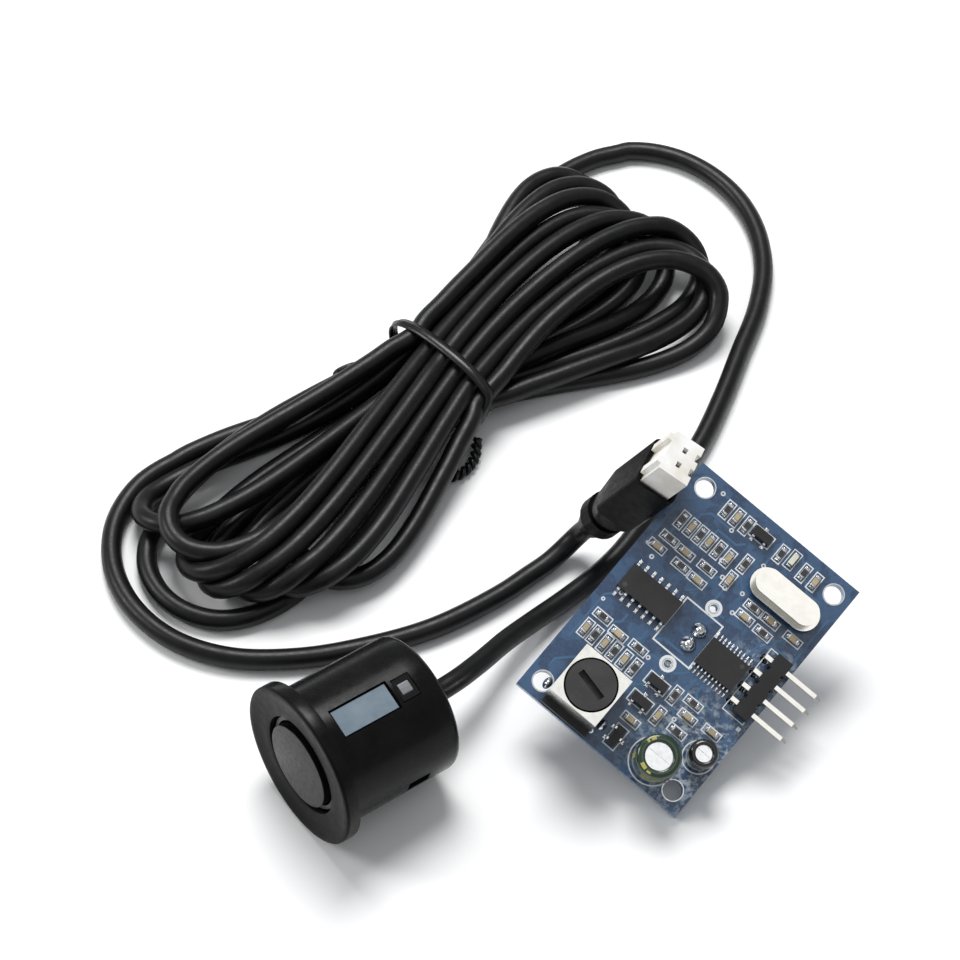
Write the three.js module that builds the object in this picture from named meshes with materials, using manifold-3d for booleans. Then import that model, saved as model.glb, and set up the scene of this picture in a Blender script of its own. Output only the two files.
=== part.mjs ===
// Ultrasonic ranging sensor: a propped ranging board, a waterproof probe and the folded lead between them.
// Millimetres, +Z up. The origin is under the middle of the board and the probe, on the table.

import * as THREE from "three";
import { mergeVertices } from "three/addons/utils/BufferGeometryUtils.js";
import { ConvexGeometry } from "three/addons/geometries/ConvexGeometry.js";
import Module from "manifold-3d";

const wasm = await Module();
wasm.setup();

// ---------------------------------------------------------------- driving dimensions

const GAP = 0.3;
// How far a cutting tool runs past the surface it opens, and how deep two joined shapes overlap.
const OVERCUT = 1;
const WELD = 0.1;

// Ranging board: local X runs along its length, local Y across it, local Z up from its component side.
const BOARD = { length: 41, width: 28.5, thick: 1.6, holeInset: 2.6, holeRadius: 1.4 };
const BOARD_CENTRE = [18.02, 3.32, 12.62];
const BOARD_HEADING = 47.5;
const BOARD_RISE = 18.2;
const BOARD_ROLL = 20.5;
const TEST_HOLES = { x: 0.3, y: -0.05, spread: 5.1, radius: 0.55 };
const HEADER_HOLE = 0.76;
const SOCKET_HOLE = 0.7;

const HEADER = {
  x: 0.8, y: -12.15, pitch: 2.54, pins: 4, depth: 2.5, height: 2.5, groove: 0.6,
  pin: 0.64, reach: 19.4, tipTaper: 0.8, tipShrink: 0.6, legBehind: 0.9, legBelow: 1.4,
};
const TRANSFORMER = { x: -15.4, y: 6.2, side: 8, wall: 0.25, roof: 0.35, height: 9 };
const TRANSFORMER_FOOT = { long: 8.9, wide: 7.8, height: 1.2, shift: -0.5 };
const SPOOL = { flangeRadius: 3.3, hubRadius: 1.5, flangeThick: 0.5, height: 3.2 };
const WINDING = { outer: 3, inner: 1.8 };
const CORE = { radius: 3.5, proud: 0.15, bore: 2.6, crown: 1.9 };
const CORE_SLOT = { width: 0.95, length: 4.6, depth: 1.1, turn: -13 };
const CRYSTAL = { x: 12.6, y: -6.8, length: 10.4, width: 3.8, height: 3.4, base: 0.5 };
const CRYSTAL_FLANGE = { reach: 0.45, thick: 0.35 };
const LARGE_CAPACITOR = { x: -16.6, y: -7.0, radius: 3.1, height: 7 };
const SMALL_CAPACITOR = { x: -12.1, y: -11.5, radius: 2, height: 5.4 };
const CAPACITOR = { sleeve: 0.25, slack: 0.15, bung: 0.9, drop: 0.25 };
const VENT_SCORE = { width: 0.2, depth: 0.15, reach: 1.3 };
const AMPLIFIER = { x: 0.9, y: 8.05, length: 8.65, width: 3.9, height: 1.4 };
const CONTROLLER = { x: -0.1, y: -5.8, length: 6.5, width: 4.4, height: 0.95 };
const TRANSISTOR = { long: 2.9, wide: 1.3, height: 1 };
const TRANSISTORS = [
  { x: -7.9, y: -0.65, turn: 90 },
  { x: -11.3, y: -0.45, turn: 90 },
  { x: -17.3, y: -0.95, turn: 0 },
  { x: 17.7, y: 1.25, turn: 90 },
];
const STATUS_LIGHT = { x: 17.9, y: -4.2, long: 1.6, wide: 0.8, height: 0.6 };
const SOCKET = { x: 0.4, y: 0.2, long: 7.4, wide: 5.7, height: 7, wall: 0.7, floor: 1.6 };
const SOCKET_PINS = { pitch: 2.5, size: 0.64, back: 0.7, sunk: 1.2, proud: 0.9 };
const SOCKET_NOTCH = { wide: 1, deep: 3 };

// Probe: local Z is the way its face points, local zero is the middle of the face.
const PROBE_CENTRE = [-35.26, -17.09, 11.91];
const PROBE_HEADING = 216.7;
const PROBE_RISE = 5.5;
const PROBE = {
  flangeRadius: 11.8, flangeThick: 1.7, lip: 0.5, bodyRadius: 10.15, length: 19.7,
  wall: 1.5, frontWall: 1.2, rearWall: 1.8, rearRound: 1.1, cableHole: 2.4,
};
const FACE = { openingRadius: 7.3, cupRadius: 6.15, cupLength: 9.4, cupWall: 0.9, proud: 0.45 };
const WINDOW = { angle: -16, near: 3.6, far: 12.9, width: 4.4 };
const CLIP_SLOT = { near: 13.4, far: 16.3, width: 3.6 };
const SIDE_SLOT = { angle: 77, near: 11, far: 14.5, width: 2.2 };
const SLOT_INNER_RADIUS = 8;
const SLEEVE = {
  outer: 8.3, inner: 7.2, near: 1.5, far: 16.8, shoulder: 1.4, lipDepth: 0.7, windowSink: 0.45, clipSink: 0.2,
};
const PIEZO = { radius: 3.6, thick: 0.6 };
const DAMPING = { radius: 4.6, thick: 3.5 };
const GROMMET = {
  neck: 2.1, inside: 1.5, collar: 2.7, collarThick: 0.9,
  tail: 3, tailStart: 2.4, tailEnd: 1.95, socketDepth: 1.5,
};

// Lead
const CORD_RADIUS = 1.55;
const CORD_SIDES = 8;
const CORD_STEPS = { probe: 44, plug: 34 };
// The blind hole that a cable-end sleeve shows where the lead enters it.
const LEAD_BORE = 1.2;
const HANK_HEIGHT = 8.4;
const TIE = { width: 1.4, thick: 0.9, groove: 1.6, slack: 0.35 };

// Plug and boot: local Z points out of the plug's mating face, local X runs along its two ways.
const PLUG_MOUTH = [14.44, 20.56, 28.1];
const PLUG_AXIS = [0.404, -0.26, 0.877];
const PLUG_WAY = [0.408, 0.909, 0.081];
const BOOT = {
  long: 8.1, wide: 6.3, length: 20, corner: 0.9, mouthDepth: 6, mouthSlack: 0.1, shoulder: 12.4,
  waistRadius: 2.8, collarRadius: 3.3, collarThick: 2.6,
};
const HOUSING = { long: 6.6, wide: 4.7, out: 5.3, inside: 5.6 };
const WAYS = { pitch: 2.5, slotLong: 0.9, slotWide: 0.75, wellLong: 1.7, wellWide: 1.9, front: 1 };
const KEY = { inset: 1.3, wide: 1.1, deep: 1, proud: 0.2 };
const NOTCH = { wide: 1.2, deep: 0.6, long: 2.4 };
const CONTACT = { long: 1.1, wide: 1.3, near: 1.5, far: 5, mouthLong: 0.5, mouthWide: 0.7, backInset: 0.6 };
const RELIEF = { length: 3, startRadius: 2.9, endRadius: 2.0, socketDepth: 1.5 };

// ---------------------------------------------------------------- helpers

function rad(degrees) {
  return THREE.MathUtils.degToRad(degrees);
}

function material(colour, roughness, metalness) {
  return new THREE.MeshStandardMaterial({ color: colour, roughness, metalness });
}

function toSolid(geometry) {
  const bare = geometry.clone();
  bare.deleteAttribute("normal");
  bare.deleteAttribute("uv");
  const merged = mergeVertices(bare, 1e-4);
  const mesh = new wasm.Mesh({
    numProp: 3,
    vertProperties: new Float32Array(merged.attributes.position.array),
    triVerts: new Uint32Array(merged.index.array),
  });
  return new wasm.Manifold(mesh);
}

function fromSolid(solid) {
  const mesh = solid.getMesh();
  const geometry = new THREE.BufferGeometry();
  geometry.setAttribute("position", new THREE.BufferAttribute(new Float32Array(mesh.vertProperties), 3));
  geometry.setIndex(new THREE.BufferAttribute(new Uint32Array(mesh.triVerts), 1));
  geometry.computeVertexNormals();
  return geometry;
}

function join(...geometries) {
  return fromSolid(geometries.map(toSolid).reduce((sum, next) => sum.add(next)));
}

function cut(body, ...tools) {
  return fromSolid(tools.map(toSolid).reduce((left, tool) => left.subtract(tool), toSolid(body)));
}

// A box given by its middle in X and Y and its lowest and highest Z.
function block(long, wide, low, high, x = 0, y = 0) {
  return new THREE.BoxGeometry(long, wide, high - low).translate(x, y, (low + high) / 2);
}

// An upright cylinder or cone between two heights.
function post(radius, low, high, x = 0, y = 0, sides = 24, topRadius = radius) {
  return new THREE.CylinderGeometry(topRadius, radius, high - low, sides)
    .rotateX(Math.PI / 2)
    .translate(x, y, (low + high) / 2);
}

// An upright ring between two heights.
function ring(outer, inner, low, high, x = 0, y = 0, sides = 32) {
  return cut(post(outer, low, high, x, y, sides), post(inner, low - 1, high + 1, x, y, sides));
}

// A flat plate with straight long sides and round ends, its length along Y.
function stadium(long, wide, low, high, x, y) {
  const reach = (long - wide) / 2;
  const outline = new THREE.Shape();
  outline.absarc(0, reach, wide / 2, 0, Math.PI);
  outline.absarc(0, -reach, wide / 2, Math.PI, 2 * Math.PI);
  outline.closePath();
  const options = { depth: high - low, bevelEnabled: false, curveSegments: 10 };
  return new THREE.ExtrudeGeometry(outline, options).translate(x, y, low);
}

function piece(name, geometry, look) {
  const mesh = new THREE.Mesh(geometry, look);
  mesh.name = name;
  return mesh;
}

// ---------------------------------------------------------------- finishes

const LOOK = {
  board: () => material(0x1d4f94, 0.45, 0),
  blackPlastic: () => material(0x17171a, 0.5, 0),
  glossBlack: () => material(0x0b0b0d, 0.25, 0),
  whitePlastic: () => material(0xe9e6dc, 0.5, 0),
  tin: () => material(0xc9c7c0, 0.3, 1),
  gold: () => material(0xd9c48a, 0.3, 1),
  copper: () => material(0xb8703a, 0.35, 1),
  ferrite: () => material(0x2b2b2d, 0.7, 0),
  aluminium: () => material(0xb9babd, 0.4, 1),
  greenSleeve: () => material(0x24402c, 0.3, 0),
  rubber: () => material(0x121214, 0.8, 0),
  silicone: () => material(0x93a3b4, 0.5, 0),
  ceramic: () => material(0xc8c2ae, 0.6, 0),
  foam: () => material(0xd8d2c4, 0.9, 0),
  cord: () => material(0x141416, 0.55, 0),
};

// ---------------------------------------------------------------- ranging board

function circuitBoard() {
  const halfLong = BOARD.length / 2 - BOARD.holeInset;
  const halfWide = BOARD.width / 2 - BOARD.holeInset;
  const low = -BOARD.thick - OVERCUT;
  const tools = [];
  for (const sx of [-1, 1]) {
    for (const sy of [-1, 1]) {
      tools.push(post(BOARD.holeRadius, low, OVERCUT, sx * halfLong, sy * halfWide));
    }
  }
  for (const side of [-1, 1]) {
    const testX = TEST_HOLES.x + side * TEST_HOLES.spread;
    tools.push(post(TEST_HOLES.radius, low, OVERCUT, testX, TEST_HOLES.y, 16));
    tools.push(post(SOCKET_HOLE, low, OVERCUT, socketPinX(side), socketPinY(), 12));
  }
  for (let pin = 0; pin < HEADER.pins; pin += 1) {
    tools.push(post(HEADER_HOLE, low, OVERCUT, headerPinX(pin), headerLegY(), 12));
  }
  return cut(block(BOARD.length, BOARD.width, -BOARD.thick, 0), ...tools);
}

function headerPinX(pin) {
  return HEADER.x + (pin - (HEADER.pins - 1) / 2) * HEADER.pitch;
}

function headerLegY() {
  return HEADER.y + HEADER.depth / 2 + HEADER.legBehind;
}

function headerBody() {
  const long = HEADER.pins * HEADER.pitch;
  const through = HEADER.depth + 2 * OVERCUT;
  const hole = HEADER.pin + 2 * GAP;
  const middle = GAP + HEADER.height / 2;
  const tools = [];
  for (let pin = 0; pin < HEADER.pins; pin += 1) {
    tools.push(block(hole, through, middle - hole / 2, middle + hole / 2, headerPinX(pin), HEADER.y));
  }
  for (let gap = 1; gap < HEADER.pins; gap += 1) {
    const x = HEADER.x + (gap - HEADER.pins / 2) * HEADER.pitch;
    for (const side of [-1, 1]) {
      const y = HEADER.y + (side * HEADER.depth) / 2;
      tools.push(block(HEADER.groove, HEADER.groove, 0, GAP + HEADER.height + OVERCUT, x, y));
    }
  }
  return cut(block(long, HEADER.depth, GAP, GAP + HEADER.height, HEADER.x, HEADER.y), ...tools);
}

function headerPin(pin) {
  const { tipTaper, tipShrink } = HEADER;
  const middle = GAP + HEADER.height / 2;
  const half = HEADER.pin / 2;
  const x = headerPinX(pin);
  const rear = headerLegY() + half;
  const front = -HEADER.reach;
  const bar = new THREE.BoxGeometry(HEADER.pin, rear - front - tipTaper, HEADER.pin)
    .translate(x, (rear + front + tipTaper) / 2, middle);
  const tip = new THREE.CylinderGeometry(half * Math.SQRT2, half * tipShrink, tipTaper + WELD, 4)
    .rotateY(Math.PI / 4)
    .translate(x, front + (tipTaper + WELD) / 2, middle);
  const leg = block(HEADER.pin, HEADER.pin, -BOARD.thick - HEADER.legBelow, middle, x, headerLegY());
  return join(bar, tip, leg);
}

function header(group) {
  group.add(piece("header_body", headerBody(), LOOK.blackPlastic()));
  for (let pin = 0; pin < HEADER.pins; pin += 1) {
    group.add(piece(`header_pin_${pin + 1}`, headerPin(pin), LOOK.gold()));
  }
}

function coreSlot(top) {
  return block(CORE_SLOT.width, CORE_SLOT.length, top - CORE_SLOT.depth, top + OVERCUT)
    .rotateZ(rad(CORE_SLOT.turn))
    .translate(TRANSFORMER.x, TRANSFORMER.y, 0);
}

function transformer(group) {
  const { x, y, side, wall, roof, height } = TRANSFORMER;
  const footTop = GAP + TRANSFORMER_FOOT.height;
  const canLow = footTop + GAP;
  const inner = side / 2 - wall;
  const footX = x + TRANSFORMER_FOOT.shift;
  const foot = block(TRANSFORMER_FOOT.long, TRANSFORMER_FOOT.wide, GAP, footTop, footX, y);

  const can = cut(
    block(side, side, canLow, height, x, y),
    block(2 * inner, 2 * inner, canLow - OVERCUT, height - roof, x, y),
    post(inner, height - OVERCUT, height + OVERCUT, x, y, 40),
  );

  const spoolHigh = canLow + SPOOL.height;
  const spool = join(
    post(SPOOL.flangeRadius, canLow, canLow + SPOOL.flangeThick, x, y, 28),
    post(SPOOL.hubRadius, canLow + WELD, spoolHigh - WELD, x, y, 28),
    post(SPOOL.flangeRadius, spoolHigh - SPOOL.flangeThick, spoolHigh, x, y, 28),
  );
  const margin = SPOOL.flangeThick + GAP;
  const winding = ring(WINDING.outer, WINDING.inner, canLow + margin, spoolHigh - margin, x, y, 28);

  const coreTop = height + CORE.proud;
  const coreLow = spoolHigh + GAP;
  const core = cut(
    post(CORE.radius, coreLow, coreTop, x, y, 40),
    post(CORE.bore, coreLow - OVERCUT, coreTop - CORE.crown, x, y, 28),
    coreSlot(coreTop),
  );

  group.add(piece("transformer_base", foot, LOOK.blackPlastic()));
  group.add(piece("transformer_can", can, LOOK.tin()));
  group.add(piece("transformer_bobbin", spool, LOOK.blackPlastic()));
  group.add(piece("transformer_winding", winding, LOOK.copper()));
  group.add(piece("tuning_core", core, LOOK.ferrite()));
}

function crystal(group) {
  const { x, y, length, width, height, base } = CRYSTAL;
  const { reach, thick } = CRYSTAL_FLANGE;
  const canLow = GAP + base + GAP;
  const can = join(
    stadium(length, width, canLow, GAP + height, x, y),
    stadium(length + 2 * reach, width + 2 * reach, canLow, canLow + thick, x, y),
  );
  group.add(piece("crystal_can", can, LOOK.tin()));
  group.add(piece("crystal_base", stadium(length, width, GAP, GAP + base, x, y), LOOK.tin()));
}

function capacitor(group, name, size, sleeveLook) {
  const { x, y, radius, height } = size;
  const bungHigh = GAP + CAPACITOR.bung;
  const canLow = bungHigh + GAP;
  const canRadius = radius - CAPACITOR.sleeve - CAPACITOR.slack;
  const scoreLow = height - VENT_SCORE.depth;
  const scoreLong = canRadius * VENT_SCORE.reach;
  const can = cut(
    post(canRadius, canLow, height, x, y, 28),
    block(scoreLong, VENT_SCORE.width, scoreLow, height + OVERCUT, x, y),
    block(VENT_SCORE.width, scoreLong, scoreLow, height + OVERCUT, x, y),
  );
  const sleeve = ring(radius, radius - CAPACITOR.sleeve, canLow, height - CAPACITOR.drop, x, y, 28);
  group.add(piece(`${name}_can`, can, LOOK.aluminium()));
  group.add(piece(`${name}_sleeve`, sleeve, sleeveLook));
  group.add(piece(`${name}_bung`, post(canRadius, GAP, bungHigh, x, y, 24), LOOK.rubber()));
}

function chips(group) {
  for (const [name, chip] of [["amplifier_chip", AMPLIFIER], ["controller_chip", CONTROLLER]]) {
    const body = block(chip.width, chip.length, GAP, GAP + chip.height, chip.x, chip.y);
    group.add(piece(name, body, LOOK.blackPlastic()));
  }
  TRANSISTORS.forEach((spot, index) => {
    const body = block(TRANSISTOR.long, TRANSISTOR.wide, GAP, GAP + TRANSISTOR.height)
      .rotateZ(rad(spot.turn))
      .translate(spot.x, spot.y, 0);
    group.add(piece(`transistor_${index + 1}`, body, LOOK.blackPlastic()));
  });
  const light = STATUS_LIGHT;
  const lens = block(light.long, light.wide, GAP, GAP + light.height, light.x, light.y);
  group.add(piece("status_light", lens, LOOK.whitePlastic()));
}

function socketPinX(side) {
  return SOCKET.x + (side * SOCKET_PINS.pitch) / 2;
}

function socketPinY() {
  return SOCKET.y - SOCKET_PINS.back;
}

// The two-way socket under the board: an open shroud whose mouth faces away from the board.
function probeSocket(group) {
  const { x, y, long, wide, height, wall, floor } = SOCKET;
  const top = -BOARD.thick - GAP;
  const bottom = top - height;
  const clear = SOCKET_PINS.size + 2 * GAP;
  const tools = [block(long - 2 * wall, wide - 2 * wall, bottom - OVERCUT, top - floor, x, y)];
  for (const side of [-1, 1]) {
    const pinX = socketPinX(side);
    const notchHigh = bottom + SOCKET_NOTCH.deep;
    tools.push(block(clear, clear, bottom, top + OVERCUT, pinX, socketPinY()));
    tools.push(block(SOCKET_NOTCH.wide, 3 * wall, bottom - OVERCUT, notchHigh, pinX, y + wide / 2));
  }
  group.add(piece("probe_socket", cut(block(long, wide, bottom, top, x, y), ...tools), LOOK.whitePlastic()));
  [-1, 1].forEach((side, index) => {
    const { size, sunk, proud } = SOCKET_PINS;
    const pin = block(size, size, bottom + sunk, proud, socketPinX(side), socketPinY());
    group.add(piece(`socket_pin_${index + 1}`, pin, LOOK.tin()));
  });
}

function rangingBoard() {
  const group = new THREE.Group();
  group.add(piece("circuit_board", circuitBoard(), LOOK.board()));
  header(group);
  transformer(group);
  crystal(group);
  capacitor(group, "large_capacitor", LARGE_CAPACITOR, LOOK.greenSleeve());
  capacitor(group, "small_capacitor", SMALL_CAPACITOR, LOOK.glossBlack());
  chips(group);
  probeSocket(group);
  group.rotation.set(rad(BOARD_ROLL), rad(-BOARD_RISE), rad(BOARD_HEADING), "ZYX");
  group.position.set(...BOARD_CENTRE);
  return group;
}

// ---------------------------------------------------------------- probe

// A box cut or pad on the side of the probe, from one depth behind the face to another.
function sidePad(angle, near, far, width, inner, outer) {
  return new THREE.BoxGeometry(outer - inner, width, far - near)
    .translate((inner + outer) / 2, 0, -(near + far) / 2)
    .rotateZ(rad(angle));
}

function probeShell() {
  const { flangeRadius, flangeThick, lip, bodyRadius, length, wall, frontWall, rearWall, rearRound } = PROBE;
  const roundLow = -length + rearRound;
  const outside = join(
    post(flangeRadius, -flangeThick, -lip, 0, 0, 56),
    post(flangeRadius, -lip, 0, 0, 0, 56, flangeRadius - lip),
    post(bodyRadius, roundLow, -flangeThick + WELD, 0, 0, 56),
    post(bodyRadius - rearRound, -length, roundLow, 0, 0, 56, bodyRadius),
  );
  const tools = [
    post(FACE.openingRadius, -length / 2, OVERCUT, 0, 0, 40),
    post(bodyRadius - wall, -length + rearWall, -frontWall, 0, 0, 40),
    post(PROBE.cableHole, -length - OVERCUT, -length / 2, 0, 0, 20),
  ];
  for (const turn of [0, 180]) {
    const inner = SLOT_INNER_RADIUS;
    const outer = bodyRadius + OVERCUT;
    const front = WINDOW.angle + turn;
    tools.push(sidePad(front, WINDOW.near, WINDOW.far, WINDOW.width, inner, outer));
    tools.push(sidePad(front, CLIP_SLOT.near, CLIP_SLOT.far, CLIP_SLOT.width, inner, outer));
    tools.push(sidePad(SIDE_SLOT.angle + turn, SIDE_SLOT.near, SIDE_SLOT.far, SIDE_SLOT.width, inner, outer));
  }
  return cut(outside, ...tools);
}

function siliconeSleeve() {
  const { outer, inner, near, far, shoulder, lipDepth, windowSink, clipSink } = SLEEVE;
  const lipOuter = FACE.openingRadius - GAP;
  const lipInner = FACE.cupRadius + GAP;
  const padInner = inner + GAP;
  const pads = [
    ring(outer, inner, -far, -near, 0, 0, 40),
    ring(inner + WELD, lipInner, -near - shoulder, -near, 0, 0, 40),
    ring(lipOuter, lipInner, -near - WELD, -lipDepth, 0, 0, 40),
  ];
  for (const turn of [0, 180]) {
    const angle = WINDOW.angle + turn;
    const windowWide = WINDOW.width - 2 * GAP;
    const clipWide = CLIP_SLOT.width - 2 * GAP;
    const windowOuter = PROBE.bodyRadius - windowSink;
    const clipOuter = PROBE.bodyRadius - clipSink;
    pads.push(sidePad(angle, WINDOW.near + GAP, WINDOW.far - GAP, windowWide, padInner, windowOuter));
    pads.push(sidePad(angle, CLIP_SLOT.near + GAP, CLIP_SLOT.far - GAP, clipWide, padInner, clipOuter));
  }
  return join(...pads);
}

// The rubber bush in the rear wall: a neck through the hole, a collar outside and a short tapered tail.
function cableGrommet() {
  const { neck, inside, collar, collarThick, tail, tailStart, tailEnd, socketDepth } = GROMMET;
  const rear = -PROBE.length;
  const collarHigh = rear - GAP;
  const collarLow = collarHigh - collarThick;
  return cut(
    join(
      post(neck, collarHigh - WELD, rear + inside, 0, 0, 20),
      post(collar, collarLow, collarHigh, 0, 0, 20),
      post(tailEnd, rear - tail, collarLow + WELD, 0, 0, 20, tailStart),
    ),
    post(LEAD_BORE, rear - tail - OVERCUT, rear - tail + socketDepth, 0, 0, 16),
  );
}

function probe() {
  const group = new THREE.Group();
  const { cupRadius, cupLength, cupWall, proud } = FACE;
  const cupLow = proud - cupLength;
  const cup = cut(
    post(cupRadius, cupLow, proud, 0, 0, 40),
    post(cupRadius - cupWall, cupLow - OVERCUT, proud - cupWall, 0, 0, 32),
  );
  const discHigh = proud - cupWall - GAP;
  const discLow = discHigh - PIEZO.thick;
  const padHigh = discLow - GAP;
  const padLow = padHigh - DAMPING.thick;
  const pottingLow = -PROBE.length + PROBE.rearWall + GAP;
  group.add(piece("probe_shell", probeShell(), LOOK.glossBlack()));
  group.add(piece("silicone_sleeve", siliconeSleeve(), LOOK.silicone()));
  group.add(piece("transducer_cup", cup, LOOK.aluminium()));
  group.add(piece("piezo_disc", post(PIEZO.radius, discLow, discHigh, 0, 0, 28), LOOK.ceramic()));
  group.add(piece("damping_pad", post(DAMPING.radius, padLow, padHigh, 0, 0, 28), LOOK.foam()));
  group.add(piece("potting", post(SLEEVE.inner - GAP, pottingLow, cupLow - GAP, 0, 0, 28), LOOK.rubber()));
  group.add(piece("cable_grommet", cableGrommet(), LOOK.rubber()));

  const turned = new THREE.Group();
  turned.add(group);
  group.rotation.set(0, rad(90 - PROBE_RISE), 0);
  turned.rotation.set(0, 0, rad(PROBE_HEADING));
  turned.position.set(...PROBE_CENTRE);
  return turned;
}

// ---------------------------------------------------------------- lead

const PROBE_ROUTE = [
  [-16.8, -3.4, 9.2],
  [-14.3, -1.1, 8.6],
  [-11.0, 3.0, 7.0],
  [-7.4, 8.0, 5.0],
  [-3.4, 12.8, 3.0],
  [1.0, 17.2, 1.9],
  [5.6, 21.6, 1.6],
  [9.2, 25.6, 1.6],
  [13.2, 31.6, 1.6],
  [17.8, 39.0, 1.6],
  [22.5, 47.0, 1.6],
  [26.3, 56.0, 1.6],
  [29.6, 65.2, 1.6],
  [32.8, 74.3, 1.6],
  [34.3, 83.0, 1.6],
  [33.6, 91.2, 1.6],
  [30.9, 98.3, 1.6],
  [26.4, 104.0, 1.6],
  [21.0, 107.6, 1.6],
  [14.7, 109.0, 1.6],
  [8.0, 107.6, 1.6],
  [2.4, 103.4, 1.6],
  [1.0, 101.6, 1.6],
];

const PLUG_ROUTE = [
  [4.9, 26.7, 7.4],
  [3.6, 27.3, 4.8],
  [1.7, 26.4, 2.9],
  [-0.9, 24.2, 1.9],
  [-4.0, 21.8, 1.6],
  [-8.2, 18.4, 1.6],
  [-17.8, 12.6, 1.6],
  [-27.6, 9.2, 1.6],
  [-37.3, 7.3, 1.6],
  [-47.2, 7.5, 1.6],
  [-55.5, 10.7, 1.6],
  [-61.8, 16.8, 1.6],
  [-65.0, 24.0, 1.6],
  [-65.2, 31.6, 1.6],
  [-62.0, 38.9, 1.6],
  [-55.5, 44.2, 1.6],
  [-48.6, 47.8, 1.6],
  [-44.0, 50.8, 1.6],
];

// A faceted tube along hand-set points.
function cordTube(route, steps) {
  const points = route.map((point) => new THREE.Vector3(...point));
  const curve = new THREE.CatmullRomCurve3(points, false, "centripetal");
  const corners = [];
  for (let side = 0; side < CORD_SIDES; side += 1) {
    const angle = ((side + 0.5) / CORD_SIDES) * 2 * Math.PI;
    corners.push(new THREE.Vector2(CORD_RADIUS * Math.cos(angle), CORD_RADIUS * Math.sin(angle)));
  }
  const section = new THREE.Shape(corners);
  section.closePath();
  return new THREE.ExtrudeGeometry(section, { steps, extrudePath: curve, bevelEnabled: false });
}

// The folded spare length: two round fans with a waist where the tie goes round.
const HANK = {
  waist: [-17.2, 57.8],
  waistHalf: 8.6,
  low: { centre: [-43.8, 30.6], radius: 14.4 },
  high: { centre: [10.2, 84.6], radius: 17.4 },
};

function hankAxis() {
  const [x0, y0] = HANK.low.centre;
  const [x1, y1] = HANK.high.centre;
  return Math.atan2(y1 - y0, x1 - x0);
}

function hankOutline() {
  const axis = hankAxis();
  const outline = new THREE.Shape();
  const ends = [
    { ...HANK.high, from: -Math.PI / 2 },
    { ...HANK.low, from: Math.PI / 2 },
  ];
  for (const end of ends) {
    const start = axis + end.from;
    outline.absarc(...end.centre, end.radius, start, start + Math.PI);
    const side = start + Math.PI;
    const half = HANK.waistHalf;
    outline.lineTo(HANK.waist[0] + half * Math.cos(side), HANK.waist[1] + half * Math.sin(side));
  }
  outline.closePath();
  return outline;
}

function waistSlab(long, wide, low, high) {
  return block(long, wide, low, high).rotateZ(hankAxis()).translate(...HANK.waist, 0);
}

// The hank with a shallow groove round its waist, where the tie sits.
function cableHank() {
  const options = { depth: HANK_HEIGHT, bevelEnabled: false, curveSegments: 16 };
  const around = 2 * (HANK.waistHalf + OVERCUT);
  const inside = 2 * (HANK.waistHalf - TIE.groove);
  const groove = cut(
    waistSlab(TIE.width + 2 * TIE.slack, around, -OVERCUT, HANK_HEIGHT + OVERCUT),
    waistSlab(TIE.width + 2 * OVERCUT, inside, TIE.groove, HANK_HEIGHT - TIE.groove),
  );
  return cut(new THREE.ExtrudeGeometry(hankOutline(), options), groove);
}

function cableTie() {
  const inner = HANK.waistHalf - TIE.groove + TIE.slack;
  const outer = inner + TIE.thick;
  const low = TIE.groove - TIE.slack;
  const high = HANK_HEIGHT - low;
  return cut(
    waistSlab(TIE.width, 2 * outer, low - TIE.thick, high + TIE.thick),
    waistSlab(TIE.width + 2 * OVERCUT, 2 * inner, low, high),
  );
}

function lead(group) {
  group.add(piece("probe_cable", cordTube(PROBE_ROUTE, CORD_STEPS.probe), LOOK.cord()));
  group.add(piece("plug_cable", cordTube(PLUG_ROUTE, CORD_STEPS.plug), LOOK.cord()));
  group.add(piece("cable_hank", cableHank(), LOOK.cord()));
  group.add(piece("cable_tie", cableTie(), LOOK.cord()));
}

// ---------------------------------------------------------------- plug and boot

function roundedRectangle(long, wide, corner, z) {
  const points = [];
  const arcSteps = 3;
  for (let quarter = 0; quarter < 4; quarter += 1) {
    const sx = quarter === 0 || quarter === 3 ? 1 : -1;
    const sy = quarter < 2 ? 1 : -1;
    for (let step = 0; step <= arcSteps; step += 1) {
      const angle = ((quarter + step / arcSteps) * Math.PI) / 2;
      points.push(new THREE.Vector3(
        sx * (long / 2 - corner) + corner * Math.cos(angle),
        sy * (wide / 2 - corner) + corner * Math.sin(angle),
        z,
      ));
    }
  }
  return points;
}

function circlePoints(radius, z, sides = 24) {
  const points = [];
  for (let side = 0; side < sides; side += 1) {
    const angle = (side / sides) * 2 * Math.PI;
    points.push(new THREE.Vector3(radius * Math.cos(angle), radius * Math.sin(angle), z));
  }
  return points;
}

function plugBoot() {
  const { long, wide, length, corner, mouthDepth, mouthSlack, shoulder, waistRadius } = BOOT;
  const collarHigh = -length + BOOT.collarThick;
  const hull = new ConvexGeometry([
    ...roundedRectangle(long, wide, corner, 0),
    ...roundedRectangle(long, wide, corner, -shoulder),
    ...circlePoints(waistRadius, collarHigh - WELD),
  ]);
  const collar = post(BOOT.collarRadius, -length, collarHigh, 0, 0, 24);
  const mouthLong = HOUSING.long + 2 * GAP;
  const mouthWide = HOUSING.wide + 2 * (GAP + mouthSlack);
  return cut(
    join(hull, collar),
    block(mouthLong, mouthWide, -mouthDepth, OVERCUT),
    post(CORD_RADIUS + GAP, -length - OVERCUT, collarHigh, 0, 0, 16),
  );
}

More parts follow.
